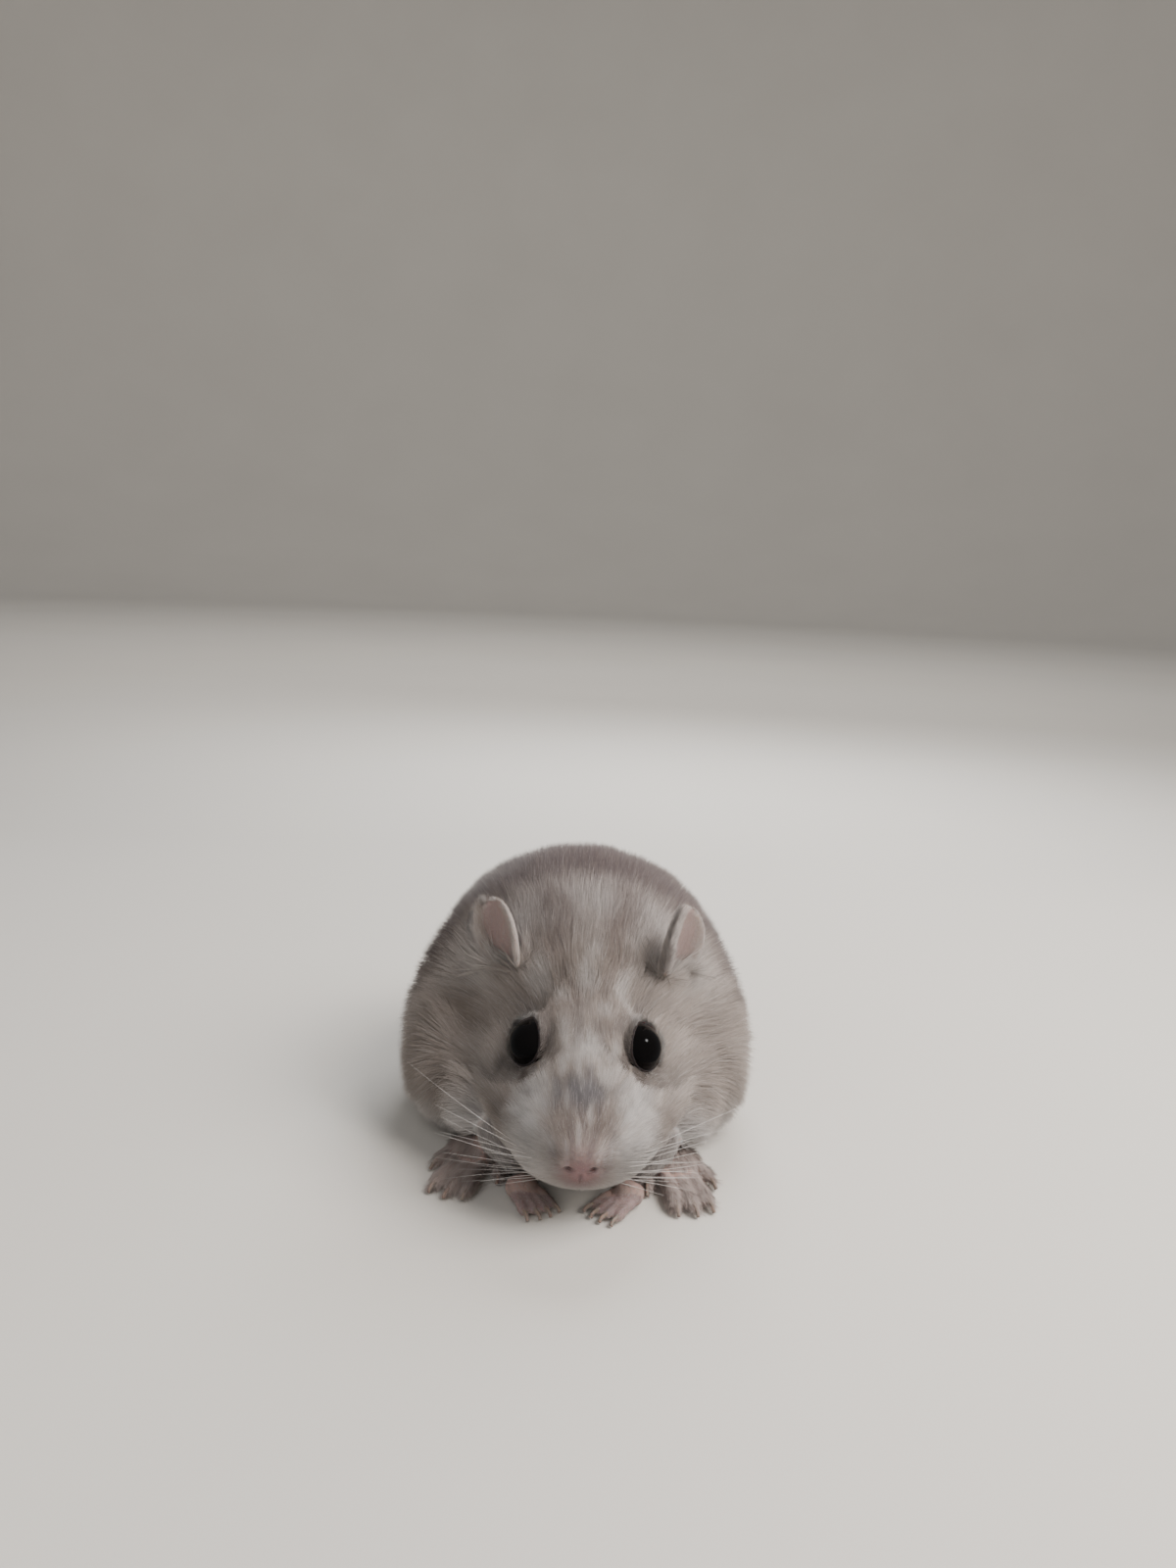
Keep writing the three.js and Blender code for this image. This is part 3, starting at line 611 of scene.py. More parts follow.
def nearest(points, line):
    """Distance from each point to a short list of others, and which is nearest."""
    gap = ((points[:, None] - line[None]) ** 2).sum(-1)
    i = gap.argmin(1)
    return np.sqrt(gap[np.arange(len(points)), i]), i


def relaxed(points, edges, strength, times):
    """Each point moved towards the mean of its neighbours by its strength, several times."""
    a, b = edges.T
    many = np.bincount(a, minlength=len(points)) + np.bincount(b, minlength=len(points))
    for _ in range(times):
        total = np.stack(
            [
                np.bincount(a, points[b, k], len(points)) + np.bincount(b, points[a, k], len(points))
                for k in range(3)
            ],
            -1,
        )
        points = points + strength[:, None] * (total / np.maximum(many, 1)[:, None] - points)
    return points


# The skin round an eye: its distance outside the lids' edge and its height over the eyeball
LID_PROFILE = [(-0.9, -0.9), (-0.1, -0.3), (0.05, 0.16), (0.22, 0.28), (0.5, 0.12), (1.3, -0.15)]
# A nostril's hole and its outer slit: place in the head's frame, reach along each axis, and depth
NOSTRIL = [((0.9, 1.6, -0.5), (0.9, 0.62, 0.55), 0.85), ((1.5, 2.5, -0.4), (0.9, 0.5, 0.4), 0.45)]


def bell(h, place, reach):
    """1 at a place of the head's frame, and falling to nothing over its reach along each axis."""
    return np.exp(-(((h - place) / reach) ** 2).sum(1))


def face_detail(points, normals):
    """The lids stand up round the eyeball and the skin passes under it, and the nostrils and the mouth are
    pressed in."""
    for sign in (1, -1):
        away, r, d = lid_distance(points, sign)
        radius = EYE["radius"]
        rim = np.interp(away, *zip(*LID_PROFILE))
        keep = smoothstep(0.8, 2.0, away)
        near = (away < 2.0) & (r < radius + 3.5)
        target = lerp(radius + rim, r, keep)
        points = np.where(near[:, None], eye_centre(sign) + d * target[:, None], points)
    h = head_coordinates(points)
    for sign in (1, -1):
        for (behind, side, above), reach, deep in NOSTRIL:
            points = points - normals * (deep * bell(h, [behind, sign * side, above], reach))[:, None]
    near = h[:, 0] < 12
    gap, _ = nearest(points[near], mouth_line())
    points[near] -= normals[near] * (0.5 * np.exp(-((gap / 0.55) ** 2)))[:, None]
    return points


# Which part of the body a point of the skin is on

# Share of its length from which a limb's skin counts as its own
PART_BEGINS = {"leg": 0.66, "tail": 0.13, "foot": 0.1}


def part_paths():
    """Name, centre line, radii and direction along each limb, for both sides."""
    rows = [("tail", TAIL_PATH, TAIL_RADII, 90)]
    for sign in (1, -1):
        rows.append(("leg", *foreleg(sign), 30))
        for name, (sole, _, digits) in (("foot", hind_foot(sign)), ("hand", hand(sign))):
            rows.append((name, *sole, 24))
            rows += [(name + "_digit", *toe, 12) for toe, _ in digits]
    return rows


def parts_at(points):
    """Name of the part that each point is on, the direction along it, and the share of its length."""
    name = np.full(len(points), "body", dtype="<U12")
    lie = np.zeros_like(points)
    share = np.zeros(len(points))
    best = np.full(len(points), 0.45)
    for kind, path, radii, count in part_paths():
        line, ahead = centripetal(path, count)
        radius = through(radii, np.linspace(0, len(radii) - 1, count))
        reach = radius.max() + 2
        near = np.all((points > line.min(0) - reach) & (points < line.max(0) + reach), axis=1)
        gap, i = nearest(points[near], line)
        over = gap - radius[i]
        t = i / (count - 1)
        where = np.flatnonzero(near)
        take = (over < best[where]) & (t > PART_BEGINS.get(kind, -1))
        where = where[take]
        best[where] = over[take]
        name[where], lie[where], share[where] = kind, ahead[i[take]], t[take]
    for sign in (1, -1):
        a, b = np.meshgrid(np.linspace(0.12, 1, 16), np.linspace(-1, 1, 13), indexing="ij")
        sheet = ear_sheet(sign, a, b, 0).reshape(-1, 3)
        root, up, _, _ = ear_axes(sign)
        near = np.flatnonzero(np.linalg.norm(points - root, axis=1) < 14)
        gap, i = nearest(points[near], sheet)
        take = (gap < 0.95) & (points[near] @ up > root @ up + 0.8)
        name[near[take]] = "ear"
        lie[near[take]] = up
        share[near[take]] = b.reshape(-1)[i[take]]
    return name, lie, share


# Colours
def linear(code):
    """An sRGB hex value as linear red, green and blue."""
    values = [int(code[k : k + 2], 16) / 255 for k in (1, 3, 5)]
    return tuple(v / 12.92 if v <= 0.04045 else ((v + 0.055) / 1.055) ** 2.4 for v in values)


def ripple(points, scale, seed):
    """Smooth noise about 0 with a spread of about 1: eight sine waves in seeded directions, each about
    scale long."""
    rng = np.random.default_rng(seed)
    total = np.zeros(len(points))
    for _ in range(8):
        way = unit(rng.normal(size=3)) * (2 * math.pi / scale) * rng.uniform(0.6, 1.6)
        total += np.sin(points @ way + rng.uniform(0, 6.28))
    return total / 2


# Marks of the coat in the head's frame: colour, place, reach along each axis, and strength. Those with a
# side are on both sides.
MARKS = [
    ("brown", (33.5, 5.4, 13), (4.8, 2.6, 4), 0.72),
    ("brown", (27.5, 4.2, 11), (4.0, 2.0, 3), 0.5),
    ("brown", (22.5, 1.5, 9.4), (3.0, 2.0, 3), 0.4),
    ("cream", (31, 0, 12.6), (5.0, 1.2, 3), 0.7),
    ("white", (13.5, 0.6, 7.4), (2.0, 3.0, 2.5), 0.2),
    ("white", (21.5, 8.4, 6.8), (2.0, 1.5, 2.0), 0.15),
    ("white", (4.4, 6.0, -1.2), (3.2, 3.2, 3.6), 0.85),
    ("white", (8.8, 6.6, 1.8), (3.0, 2.2, 3.0), 0.6),
    ("slate", (7.6, 0, 5.2), (2.4, 3.2, 2.5), 1.0),
    ("brown", (4.6, 2.2, 2.8), (1.8, 1.9, 1.8), 0.55),
    ("brown", (14.5, 7.5, 2.0), (2.6, 2.0, 2.4), 0.35),
    ("cream", (17, 14, -3), (6, 5, 4.5), 0.6),
    ("white", (29.4, 15, 4.4), (2.0, 2.0, 2.0), 0.9),
    ("cream", (25, 12.5, 3), (3.5, 3, 3), 0.5),
    ("brown", (10.5, 10.5, -3.5), (3.0, 2.4, 2.4), 0.35),
    ("brown", (19, 3.4, 8.2), (3.2, 1.8, 2.6), 0.4),
    # White hair grows at each ear's inner base; this mark also spreads over the hollow beside the ear as painted
    # light, lifting the shade that the ear casts there.
    ("white", (32, 10.2, 11), (2.6, 1.7, 2.4), 0.6),
]


def coat_colour(points, normals, part, share, colours):
    """Colour of the hair's middle, how dark its tip is, and how pink the skin below it is, at each point."""
    h = head_coordinates(points)
    base = np.tile(colours["beige"], (len(points), 1))

    def blend(name, weight):
        nonlocal base
        base = lerp(base, colours[name], np.clip(weight, 0, 1)[:, None])

    y, z = points[:, 1], points[:, 2]
    low = smoothstep(14, 3, z) * smoothstep(0.5, -0.35, normals[:, 2])
    blend("cream", 0.35 + 0.2 * ripple(points, 9, 3))
    back = smoothstep(-2.5, 4, y) * smoothstep(12, 27, z)
    blend("brown", 0.75 * back)
    nape = np.exp(-(((y + 4.4) / 3.2) ** 2)) * smoothstep(20, 30, z)
    blend("cream", 0.9 * nape)
    blend("white", 0.4 * nape)
    # Streaks fan out from a point before the nose, along the lie of the face's hair.
    fan = np.stack([h[:, 0] * 0.35, h[:, 1] / (h[:, 0] + 8) * 22, h[:, 2] * 0.3], -1)
    streak = ripple(fan, 2.6, 41)
    face = smoothstep(36, 24, h[:, 0]) * smoothstep(13, 7, np.abs(h[:, 1])) * smoothstep(-5, -1, h[:, 2])
    blend("white", 0.42 * face * smoothstep(0.1, 1.3, streak))
    blend("slate", 0.4 * face * smoothstep(-0.1, -1.3, streak))
    rough = 0.16 * streak
    for name, (behind, side, above), reach, strength in MARKS:
        for x in {side, -side}:
            gap = np.sqrt((((h - [behind, x, above]) / reach) ** 2).sum(1))
            blend(name, strength * smoothstep(1.7, 0.5, gap + rough))
    blend("white", 0.9 * low)
    blend("white", 0.8 * smoothstep(-5, -9, h[:, 2]) * smoothstep(24, 16, h[:, 0]))
    paw = np.isin(part, PAWS)
    blend("cream", 0.5 * paw)
    blend("brown", 0.35 * (part == "leg"))
    tail = part == "tail"
    blend("brown", tail * smoothstep(-0.2, 0.6, normals[:, 2]) * 0.7)
    blend("dark", tail * smoothstep(0.66, 0.9, share) * 0.8)
    ear_ = part == "ear"
    blend("beige", 1.0 * ear_)
    blend("cream", 0.55 * ear_)
    blend("white", 0.6 * ear_ * smoothstep(0.7, 1.0, np.abs(share)))
    crown = smoothstep(24, 36, h[:, 0]) * smoothstep(6, 10, h[:, 2])
    tip = 0.12 + 0.66 * back * (1 - 0.6 * nape) * (1 - 0.45 * smoothstep(6, 20, y)) + 0.4 * crown
    tip = np.where(tail, 0.35 + 0.5 * share, np.where(ear_, 0.05, tip)) * (1 - low)
    pink = np.exp(-(((h - [1.2, 0, -1.4]) / [3.0, 2.9, 3.6]) ** 2).sum(1) * 1.3) * 1.5
    pink = np.where(paw, 0.75, np.where(ear_, 0.9, pink))
    return base, np.clip(tip, 0, 1), np.clip(pink, 0, 1)


# Meshes and materials
def new_mesh(name, points, faces):
    """A smooth mesh of triangles, in metres, from corners in millimetres, as an object at the origin."""
    mesh = bpy.data.meshes.new(name)
    mesh.vertices.add(len(points))
    mesh.vertices.foreach_set("co", (np.asarray(points, np.float32) * MM).ravel())
    mesh.loops.add(faces.size)
    mesh.loops.foreach_set("vertex_index", faces.astype(np.int32).ravel())
    mesh.polygons.add(len(faces))
    mesh.polygons.foreach_set("loop_start", np.arange(0, faces.size, 3, dtype=np.int32))
    mesh.update(calc_edges=True)
    mesh.validate()
    mesh.polygons.foreach_set("use_smooth", np.ones(len(mesh.polygons), bool))
    obj = bpy.data.objects.new(name, mesh)
    bpy.context.scene.collection.objects.link(obj)
    return obj


def read(items, field, width, kind=np.float64):
    """One property of all items of a mesh's collection, as rows of width numbers."""
    values = np.empty(len(items) * width, kind)
    items.foreach_get(field, values)
    return values.reshape(-1, width)


def triangle_corners(mesh):
    return read(mesh.loops, "vertex_index", 1, np.int32).reshape(-1, 3)


def move(mesh, points):
    """Puts the mesh's corners at points, in millimetres, and gives its normals there."""
    mesh.vertices.foreach_set("co", (points * MM).astype(np.float32).ravel())
    mesh.update()
    return read(mesh.vertex_normals, "vector", 3)


def paint(mesh, name, colours):
    """A colour for each corner point, as the attribute name."""
    layer = mesh.color_attributes.new(name, "FLOAT_COLOR", "POINT")
    rgba = np.concatenate([colours, np.ones((len(colours), 1))], 1)
    layer.data.foreach_set("color", rgba.astype(np.float32).ravel())


def material(name):
    mat = bpy.data.materials.new(name)
    mat.use_nodes = True
    tree = mat.node_tree
    return mat, tree, tree.nodes["Principled BSDF"]


def node(tree, kind, settings=None, inputs=None):
    """Adds a node, with its settings, and its inputs as values or as the sockets that feed them."""
    made = tree.nodes.new(kind)
    for key, value in (settings or {}).items():
        setattr(made, key, value)
    for key, value in (inputs or {}).items():
        if isinstance(value, bpy.types.NodeSocket):
            tree.links.new(value, made.inputs[key])
        else:
            made.inputs[key].default_value = value
    return made


def sized(shader, **values):
    """Sets the shader's sockets that the keywords name."""
    for key, value in values.items():
        shader.inputs[key.replace("_", " ").title().replace("Ior", "IOR")].default_value = value


def mottled(tree, shader, scale, one, other):
    """Clouds of two colours as the base colour, about scale of them in a metre."""
    place = node(tree, "ShaderNodeTexCoord")
    cloud = node(
        tree, "ShaderNodeTexNoise", inputs={"Vector": place.outputs["Object"], "Scale": scale, "Detail": 2}
    )
    tint = node(tree, "ShaderNodeMix", {"data_type": "RGBA"}, {"Factor": cloud.outputs["Fac"]})
    tint.inputs[6].default_value = (*one, 1)
    tint.inputs[7].default_value = (*other, 1)
    tree.links.new(tint.outputs[2], shader.inputs["Base Color"])


def coat_material():
    """Fine dull hair: each tuft carries its own colour from root to tip. A little sheen gives the soft pale
    edge that a dense coat has against the light."""
    mat, tree, shader = material("agouti hair, combed flat")
    hair = node(tree, "ShaderNodeAttribute", {"attribute_name": "hair"})
    tree.links.new(hair.outputs["Color"], shader.inputs["Base Color"])
    sized(shader, roughness=0.68, sheen_weight=0.18, sheen_roughness=0.45, specular_IOR_level=0.22)
    return mat


def skin_material():
    """Thin soft skin: the coat's own colour where hair covers it, and pink where it is bare. Wrinkles about
    0.5 mm apart break up its gloss, and blotches of about 2 mm vary its tone."""
    mat, tree, shader = material("thin skin, lightly wrinkled")
    colour = node(tree, "ShaderNodeAttribute", {"attribute_name": "skin"})
    place = node(tree, "ShaderNodeTexCoord").outputs["Object"]
    wrinkles = node(tree, "ShaderNodeTexNoise", inputs={"Vector": place, "Scale": 2200, "Detail": 4})
    blotches = node(tree, "ShaderNodeTexNoise", inputs={"Vector": place, "Scale": 450, "Detail": 3})
    vary = node(
        tree, "ShaderNodeMapRange", inputs={"Value": blotches.outputs["Fac"], "To Min": 0.86, "To Max": 1.12}
    )
    mixed = node(
        tree,
        "ShaderNodeVectorMath",
        {"operation": "SCALE"},
        {0: colour.outputs["Color"], "Scale": vary.outputs["Result"]},
    )
    bump = node(
        tree,
        "ShaderNodeBump",
        inputs={"Height": wrinkles.outputs["Fac"], "Distance": 0.00012, "Strength": 0.6},
    )
    tree.links.new(mixed.outputs["Vector"], shader.inputs["Base Color"])
    tree.links.new(bump.outputs["Normal"], shader.inputs["Normal"])
    sized(shader, roughness=0.62, specular_IOR_level=0.3, subsurface_weight=0.25, subsurface_scale=0.0012)
    sized(shader, subsurface_radius=(1.0, 0.35, 0.2))
    return mat


def eye_material(colours):
    """A wet cornea over a nearly black iris, clouded over about 3 mm: a hard bright highlight on black."""
    mat, tree, shader = material("wet cornea over a black iris")
    mottled(tree, shader, 300, colours["eye"], colours["eye"] * 1.9)
    sized(shader, roughness=0.07, specular_IOR_level=0.32, ior=1.38)
    return mat


def claw_material(colours):
    """Horn, grown in fine layers about 0.5 mm apart: pale, slightly clear, with a dull shine."""
    mat, tree, shader = material("pale horn, grown")
    mottled(tree, shader, 1800, colours["horn"], colours["horn"] * 0.7)
    sized(shader, roughness=0.38, subsurface_weight=0.2, subsurface_scale=0.0006)
    return mat


def whisker_material():
    """Stiff clear hair that looks white where it catches the light, and a little darker at its root."""
    mat, tree, shader = material("stiff white hair")
    shade = node(tree, "ShaderNodeAttribute", {"attribute_name": "hair"})
    tree.links.new(shade.outputs["Color"], shader.inputs["Base Color"])
    sized(shader, roughness=0.4, specular_IOR_level=0.5)
    return mat


def floor_material():
    """Matt painted board: pale, with a faint unevenness about 170 mm across."""
    mat, tree, shader = material("matt painted board")
    mottled(tree, shader, 6, linear("#c8c5c0"), linear("#cfccc7"))
    sized(shader, roughness=0.9)
    return mat


# Settings that a user would change
def colour_setting(name, code, description):
    return bpy.props.FloatVectorProperty(
        name=name, description=description, default=linear(code), subtype="COLOR", size=3, min=0, max=1
    )


class GerbilColours(bpy.types.PropertyGroup):
    """Colours of the coat, the skin and the horn."""

    beige: colour_setting("Beige", "#8a8079", "The coat's main colour")
    cream: colour_setting("Cream", "#aba29c", "Paler bands of the coat")
    white: colour_setting("White", "#c9c6c5", "Whisker pads, belly and feet")
    brown: colour_setting("Brown", "#6a5d57", "Darker patches of the forehead and the back")
    slate: colour_setting("Slate", "#686567", "Bridge of the nose, and the roots of the hair")
    dark: colour_setting("Dark tips", "#40363a", "Tips of the hair over the back and tail")
    pink: colour_setting("Skin", "#ad8c84", "Bare skin of the ears and paws")
    nose: colour_setting("Nose", "#8f7375", "The tip of the nose")
    eye: colour_setting("Eye", "#060505", "The eyeball")
    horn: colour_setting("Horn", "#93847b", "The claws")


class GerbilSizes(bpy.types.PropertyGroup):
    """Sizes and counts of the skin, the coat and the whiskers."""

    voxel: bpy.props.FloatProperty(
        name="Skin grain", description="Size of the skin's squares, in mm", default=0.42, min=0.3, max=1.5
    )
    long_tufts: bpy.props.IntProperty(
        name="Long tufts",
        description="Tufts of the back, flanks and tail",
        default=205000,
        min=2000,
        max=230000,
    )
    short_tufts: bpy.props.IntProperty(
        name="Short tufts",
        description="Tufts of the face, ears and legs",
        default=118000,
        min=2000,
        max=140000,
    )
    length: bpy.props.FloatProperty(
        name="Coat length",
        description="Scale of all lengths",
        default=1.0,
        min=0.3,
        max=2.0,
        subtype="FACTOR",
    )
    width: bpy.props.FloatProperty(
        name="Tuft width",
        description="Scale of all widths",
        default=1.0,
        min=0.3,
        max=3.0,
        subtype="FACTOR",
    )
    clump: bpy.props.FloatProperty(
        name="Clumping",
        description="How far tips gather in locks",
        default=0.34,
        min=0,
        max=1,
        subtype="FACTOR",
    )
    whiskers: bpy.props.IntProperty(
        name="Whiskers", description="Whiskers on each side", default=16, min=0, max=60
    )
    whisker_length: bpy.props.FloatProperty(
        name="Whisker length",
        description="Longest whisker",
        default=0.027,
        min=0.005,
        max=0.04,
        unit="LENGTH",
    )
    seed: bpy.props.IntProperty(name="Seed", description="Start of the random numbers", default=7)


def colour_table():
    settings = bpy.context.scene.gerbil_colours
    return {name: np.array(getattr(settings, name)) for name in GerbilColours.__annotations__}


def place_on_body(obj, slot, *nodes):
    """Puts a piece on the root body and hides the nodes that it replaces; slot is not used."""
    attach(obj, "root")
    if nodes:
        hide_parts(*nodes)


class GERBIL_OT_skin(bpy.types.Operator):
    """Makes the one skin of the head, body, legs, ears and tail"""

    bl_idname = "gerbil.skin"
    bl_label = "Skin"

    def execute(self, context):
        sizes = context.scene.gerbil_sizes
        points, faces = flesh()
        rough = new_mesh("rough_flesh", points / MM, faces)
        remesh = rough.modifiers.new("Fuse", "REMESH")
        remesh.mode = "VOXEL"
        remesh.voxel_size = sizes.voxel
        fused = rough.evaluated_get(context.evaluated_depsgraph_get()).to_mesh()
        if len(fused.polygons) < 1000:
            raise RuntimeError("the flesh did not fuse")
        points, faces = refined(fused)
        rough.to_mesh_clear()
        bpy.data.objects.remove(rough)

        obj = new_mesh("skin", points, faces)
        mesh = obj.data
        edges = read(mesh.edges, "vertices", 2, np.int32)
        fine = detail_region(points)
        part, _, _ = parts_at(points)
        thin = np.isin(part, ("ear", *PAWS))
        points = relaxed(points, edges, np.where(thin, 0.25, 0.5), 3)
        points = relaxed(points, edges, np.where(thin | fine, 0.0, 0.5), 45)
        points = face_detail(points, move(mesh, points))
        points[:, 2] = np.maximum(points[:, 2], LEAST_HEIGHT["skin"])
        normals = move(mesh, points)

        paint(mesh, "skin", skin_tones(points, normals))
        mesh.materials.append(skin_material())
        unwrap(obj)
        place_on_body(obj, "skin", *FLESH)
        return {"FINISHED"}


def skin_tones(points, normals):
    """The skin's colours: the coat's own, a little darker, and those of bare skin where it shows, with painted
    shade in the groove under the nose and in the nostrils.
    """
    colours = colour_table()
    part, _, share = parts_at(points)
    base, _, pink = coat_colour(points, normals, part, share, colours)
    h = head_coordinates(points)
    bare = np.where((h[:, 0] < 6)[:, None], colours["nose"], colours["pink"])
    # An ear's cup is mauve in the middle and paler towards its rim.
    pale = 0.25 + 0.6 * smoothstep(0.35, 1, np.abs(share))[:, None]
    cup = lerp(colours["nose"] * 0.95, colours["cream"] * 0.95, pale)
    bare = np.where((part == "ear")[:, None], cup, bare)
    # The groove under the nose is darkened: painted shade in the crease.
    groove_shade = np.exp(-((h[:, 1] / 0.3) ** 2)) * smoothstep(-0.6, -1.4, h[:, 2]) * smoothstep(-5.5, -4, h[:, 2])
    bare = bare * (1 - 0.45 * groove_shade * (h[:, 0] < 5))[:, None]
    tone = lerp(base * 0.85, bare, pink[:, None])
    for sign in (1, -1):
        away, r, _ = lid_distance(points, sign)
        rim = smoothstep(0.9, 0.4, away) * (r < EYE["radius"] + 2)
        tone = lerp(tone, colours["dark"] * 0.35, 0.95 * rim[:, None])
        # The nostrils' holes are darkened: painted shade inside them.
        nostril_shade = bell(h, [0.9, sign * 1.6, -0.5], [0.9, 0.55, 0.5])
        tone = tone * (1 - 0.75 * nostril_shade[:, None])
    return tone


def detail_region(points):
    """Where the skin needs finer squares on the head: the muzzle and round the eyes."""
    region = head_coordinates(points)[:, 0] < 8
    for sign in (1, -1):
        away, r, _ = lid_distance(points, sign)
        region |= (away < 2.2) & (r < EYE["radius"] + 3.5)
    return region


def refined(mesh):
    """Corners and triangles of the fused mesh, with the squares of the face, ears and digits cut in four."""
    points = read(mesh.vertices, "co", 3)
    part, _, _ = parts_at(points)
    inside = detail_region(points) | np.isin(part, ["ear", "hand", "hand_digit", "foot_digit"])
    ends = read(mesh.edges, "vertices", 2, np.int32)
    bm = bmesh.new()
    bm.from_mesh(mesh)
    bm.edges.ensure_lookup_table()
    cut = [bm.edges[i] for i in np.flatnonzero(inside[ends].all(1))]
    bmesh.ops.subdivide_edges(bm, edges=cut, cuts=1, use_grid_fill=True)
    bmesh.ops.triangulate(bm, faces=bm.faces[:])
    made = bpy.data.meshes.new("cut")
    bm.to_mesh(made)
    bm.free()
    points, faces = read(made.vertices, "co", 3), triangle_corners(made)
    bpy.data.meshes.remove(made)
    return points, faces


def unwrap(obj):
    """Lays the skin out flat by the way its faces look."""
    for other in bpy.context.selected_objects:
        other.select_set(False)
    bpy.context.view_layer.objects.active = obj
    obj.select_set(True)
    obj.data.uv_layers.new(name="OFBake")
    bpy.ops.object.mode_set(mode="EDIT")
    bpy.ops.mesh.select_all(action="SELECT")
    bpy.ops.uv.smart_project(angle_limit=math.radians(66), island_margin=0.002)
    bpy.ops.object.mode_set(mode="OBJECT")


class GERBIL_OT_eyes(bpy.types.Operator):
    """Makes the two eyeballs"""

    bl_idname = "gerbil.eyes"
    bl_label = "Eyes"

    def execute(self, context):
        mat = eye_material(colour_table())
        for name, sign in (("left", 1), ("right", -1)):
            axis = eye_axis(sign)
            side = across_from(UPRIGHT, axis)
            way = ball(48, 64, 0.03)
            # The cornea stands a little further out than the ball, in a bell-shaped rise about its axis.
            from_axis = np.arccos(way[..., 2:])
            radius = EYE["radius"] + 0.05 + 0.3 * np.exp(-((from_axis / 0.85) ** 2))
            globe = (radius * way) @ np.stack([side, np.cross(axis, side), axis])
            obj = new_mesh(f"eyeball_{name}", *closed(eye_centre(sign) + globe))
            obj.data.materials.append(mat)
            place_on_body(obj, "eye", f"eye_{name}")
        return {"FINISHED"}


class GERBIL_OT_claws(bpy.types.Operator):
    """Makes the claws of the hands and the hind feet"""

    bl_idname = "gerbil.claws"
    bl_label = "Claws"

    def execute(self, context):
        claws = []
        for sign in (1, -1):
            for _, _, digits in (hind_foot(sign), hand(sign)):
                for _, (path, radii) in digits:
                    claws.append(limb(path, radii, steps=12, around=10, flat=1.3, round_ends=False))
        points, faces = joined(claws)
        points[:, 2] = np.maximum(points[:, 2], LEAST_HEIGHT["claws"])
        obj = new_mesh("claws", points, faces)
        obj.data.materials.append(claw_material(colour_table()))
        place_on_body(obj, "skin")
        return {"FINISHED"}


# The four triangles of a tuft: its foot and its three sides
SPIKE = np.array([[0, 2, 1], [0, 1, 3], [1, 2, 3], [2, 0, 3]])
# A tuft's small patch of the unwrapped skin, about its root's place
PATCH = np.array([[-1, -1], [1, -1], [0, -0.8], [0, 1]]) * 0.0015


def tuft_mesh(name, root, up, width, tips, tones, uv):
    """Thin three-sided spikes from each root to its tip, sunk a little into the skin and closed below.
    Their normals lean towards the skin's, so that the coat is lit as one soft surface."""
    ahead = unit(tips - root)
    side = unit(np.cross(ahead, up))
    rise = np.cross(side, ahead)
    angle = np.radians([90, 210, 330])[None, :, None]
    ring = side[:, None] * np.cos(angle) + rise[:, None] * (0.7 * np.sin(angle))
    base = root - up * 0.15
    points = np.concatenate([base[:, None] + ring * width[:, None, None] / 2, tips[:, None]], 1)
    points[..., 2] = np.maximum(points[..., 2], LEAST_HEIGHT["tufts"])
    # The spikes' signed volume says which way round the triangles go.
    a, b, c = (points[:, SPIKE[:, k]] - base[:, None] for k in range(3))
    spike = SPIKE if (a * np.cross(b, c)).sum() > 0 else SPIKE[:, ::-1]
    faces = spike[None] + (np.arange(len(root)) * 4)[:, None, None]
    mesh = new_mesh(name, points.reshape(-1, 3), faces.reshape(-1, 3)).data
    paint(mesh, "hair", np.repeat(np.stack(tones, 1), [3, 1], axis=1).reshape(-1, 3))
    patches = np.clip(uv[:, None] + PATCH[None], 0, 1).reshape(-1, 2)
    corners = triangle_corners(mesh).ravel()
    layer = mesh.uv_layers.new(name="OFBake")
    layer.data.foreach_set("uv", patches[corners].astype(np.float32).ravel())
    own = np.concatenate([ring, ahead[:, None] * 0.3 + up[:, None]], 1)
    lean = unit(own * 0.22 + up[:, None])
    mesh.normals_split_custom_set_from_vertices(lean.reshape(-1, 3).astype(np.float32))
    return bpy.data.objects[name]


# Millimetres: coat shorter than this is made of short tufts.
SHORT_BELOW = 3.6
# How densely the tufts stand on each part, against 26 on the body
DENSITY = {"tail": 24, "leg": 20, "hand": 22, "hand_digit": 22, "foot": 34, "foot_digit": 34}


def tuft_density(middle, facing, part, share, length):
    """How many roots each place of the skin gets against the others. There are more of them where the coat
    is shorter, fewer on the nose and none at its tip, and none on the lids, the soles or the floor side of the
    digits."""
    wanted = 26 + 12 * smoothstep(4.5, 2.0, length)
    for name, dense in DENSITY.items():
        wanted = np.where(part == name, dense, wanted)
    for sign in (1, -1):
        of_ear = (part == "ear") & (middle[:, 0] * sign > 0)
        in_cup = facing @ ear_axes(sign)[2] > 0.1
        cup = 30 + 24 * smoothstep(0.6, 0.95, np.abs(share))
        wanted = np.where(of_ear, np.where(in_cup, cup, 48), wanted)
    h = head_coordinates(middle)
    pad = (((h - [0.3, 0, -0.4]) / [1.7, 3.0, 2.0]) ** 2).sum(1)
    wanted = wanted * (0.45 + 0.55 * smoothstep(0.6, 2.0, pad)) * (h[:, 0] > 0.2)
    for sign in (1, -1):
        away, r, _ = lid_distance(middle, sign)
        by_lids = wanted * smoothstep(0.28, 0.5, away) * (1 + smoothstep(3, 0.6, away))
        wanted = np.where(r < EYE["radius"] + 2.5, by_lids, wanted)
    wanted = np.where(np.isin(part, PAWS) & (facing[:, 2] < 0), 0, wanted)
    wanted = np.where(middle[:, 2] < 0.5, 0, wanted)
    return np.where((facing[:, 2] < -0.75) & (middle[:, 2] < 4), wanted * 0.4, wanted)


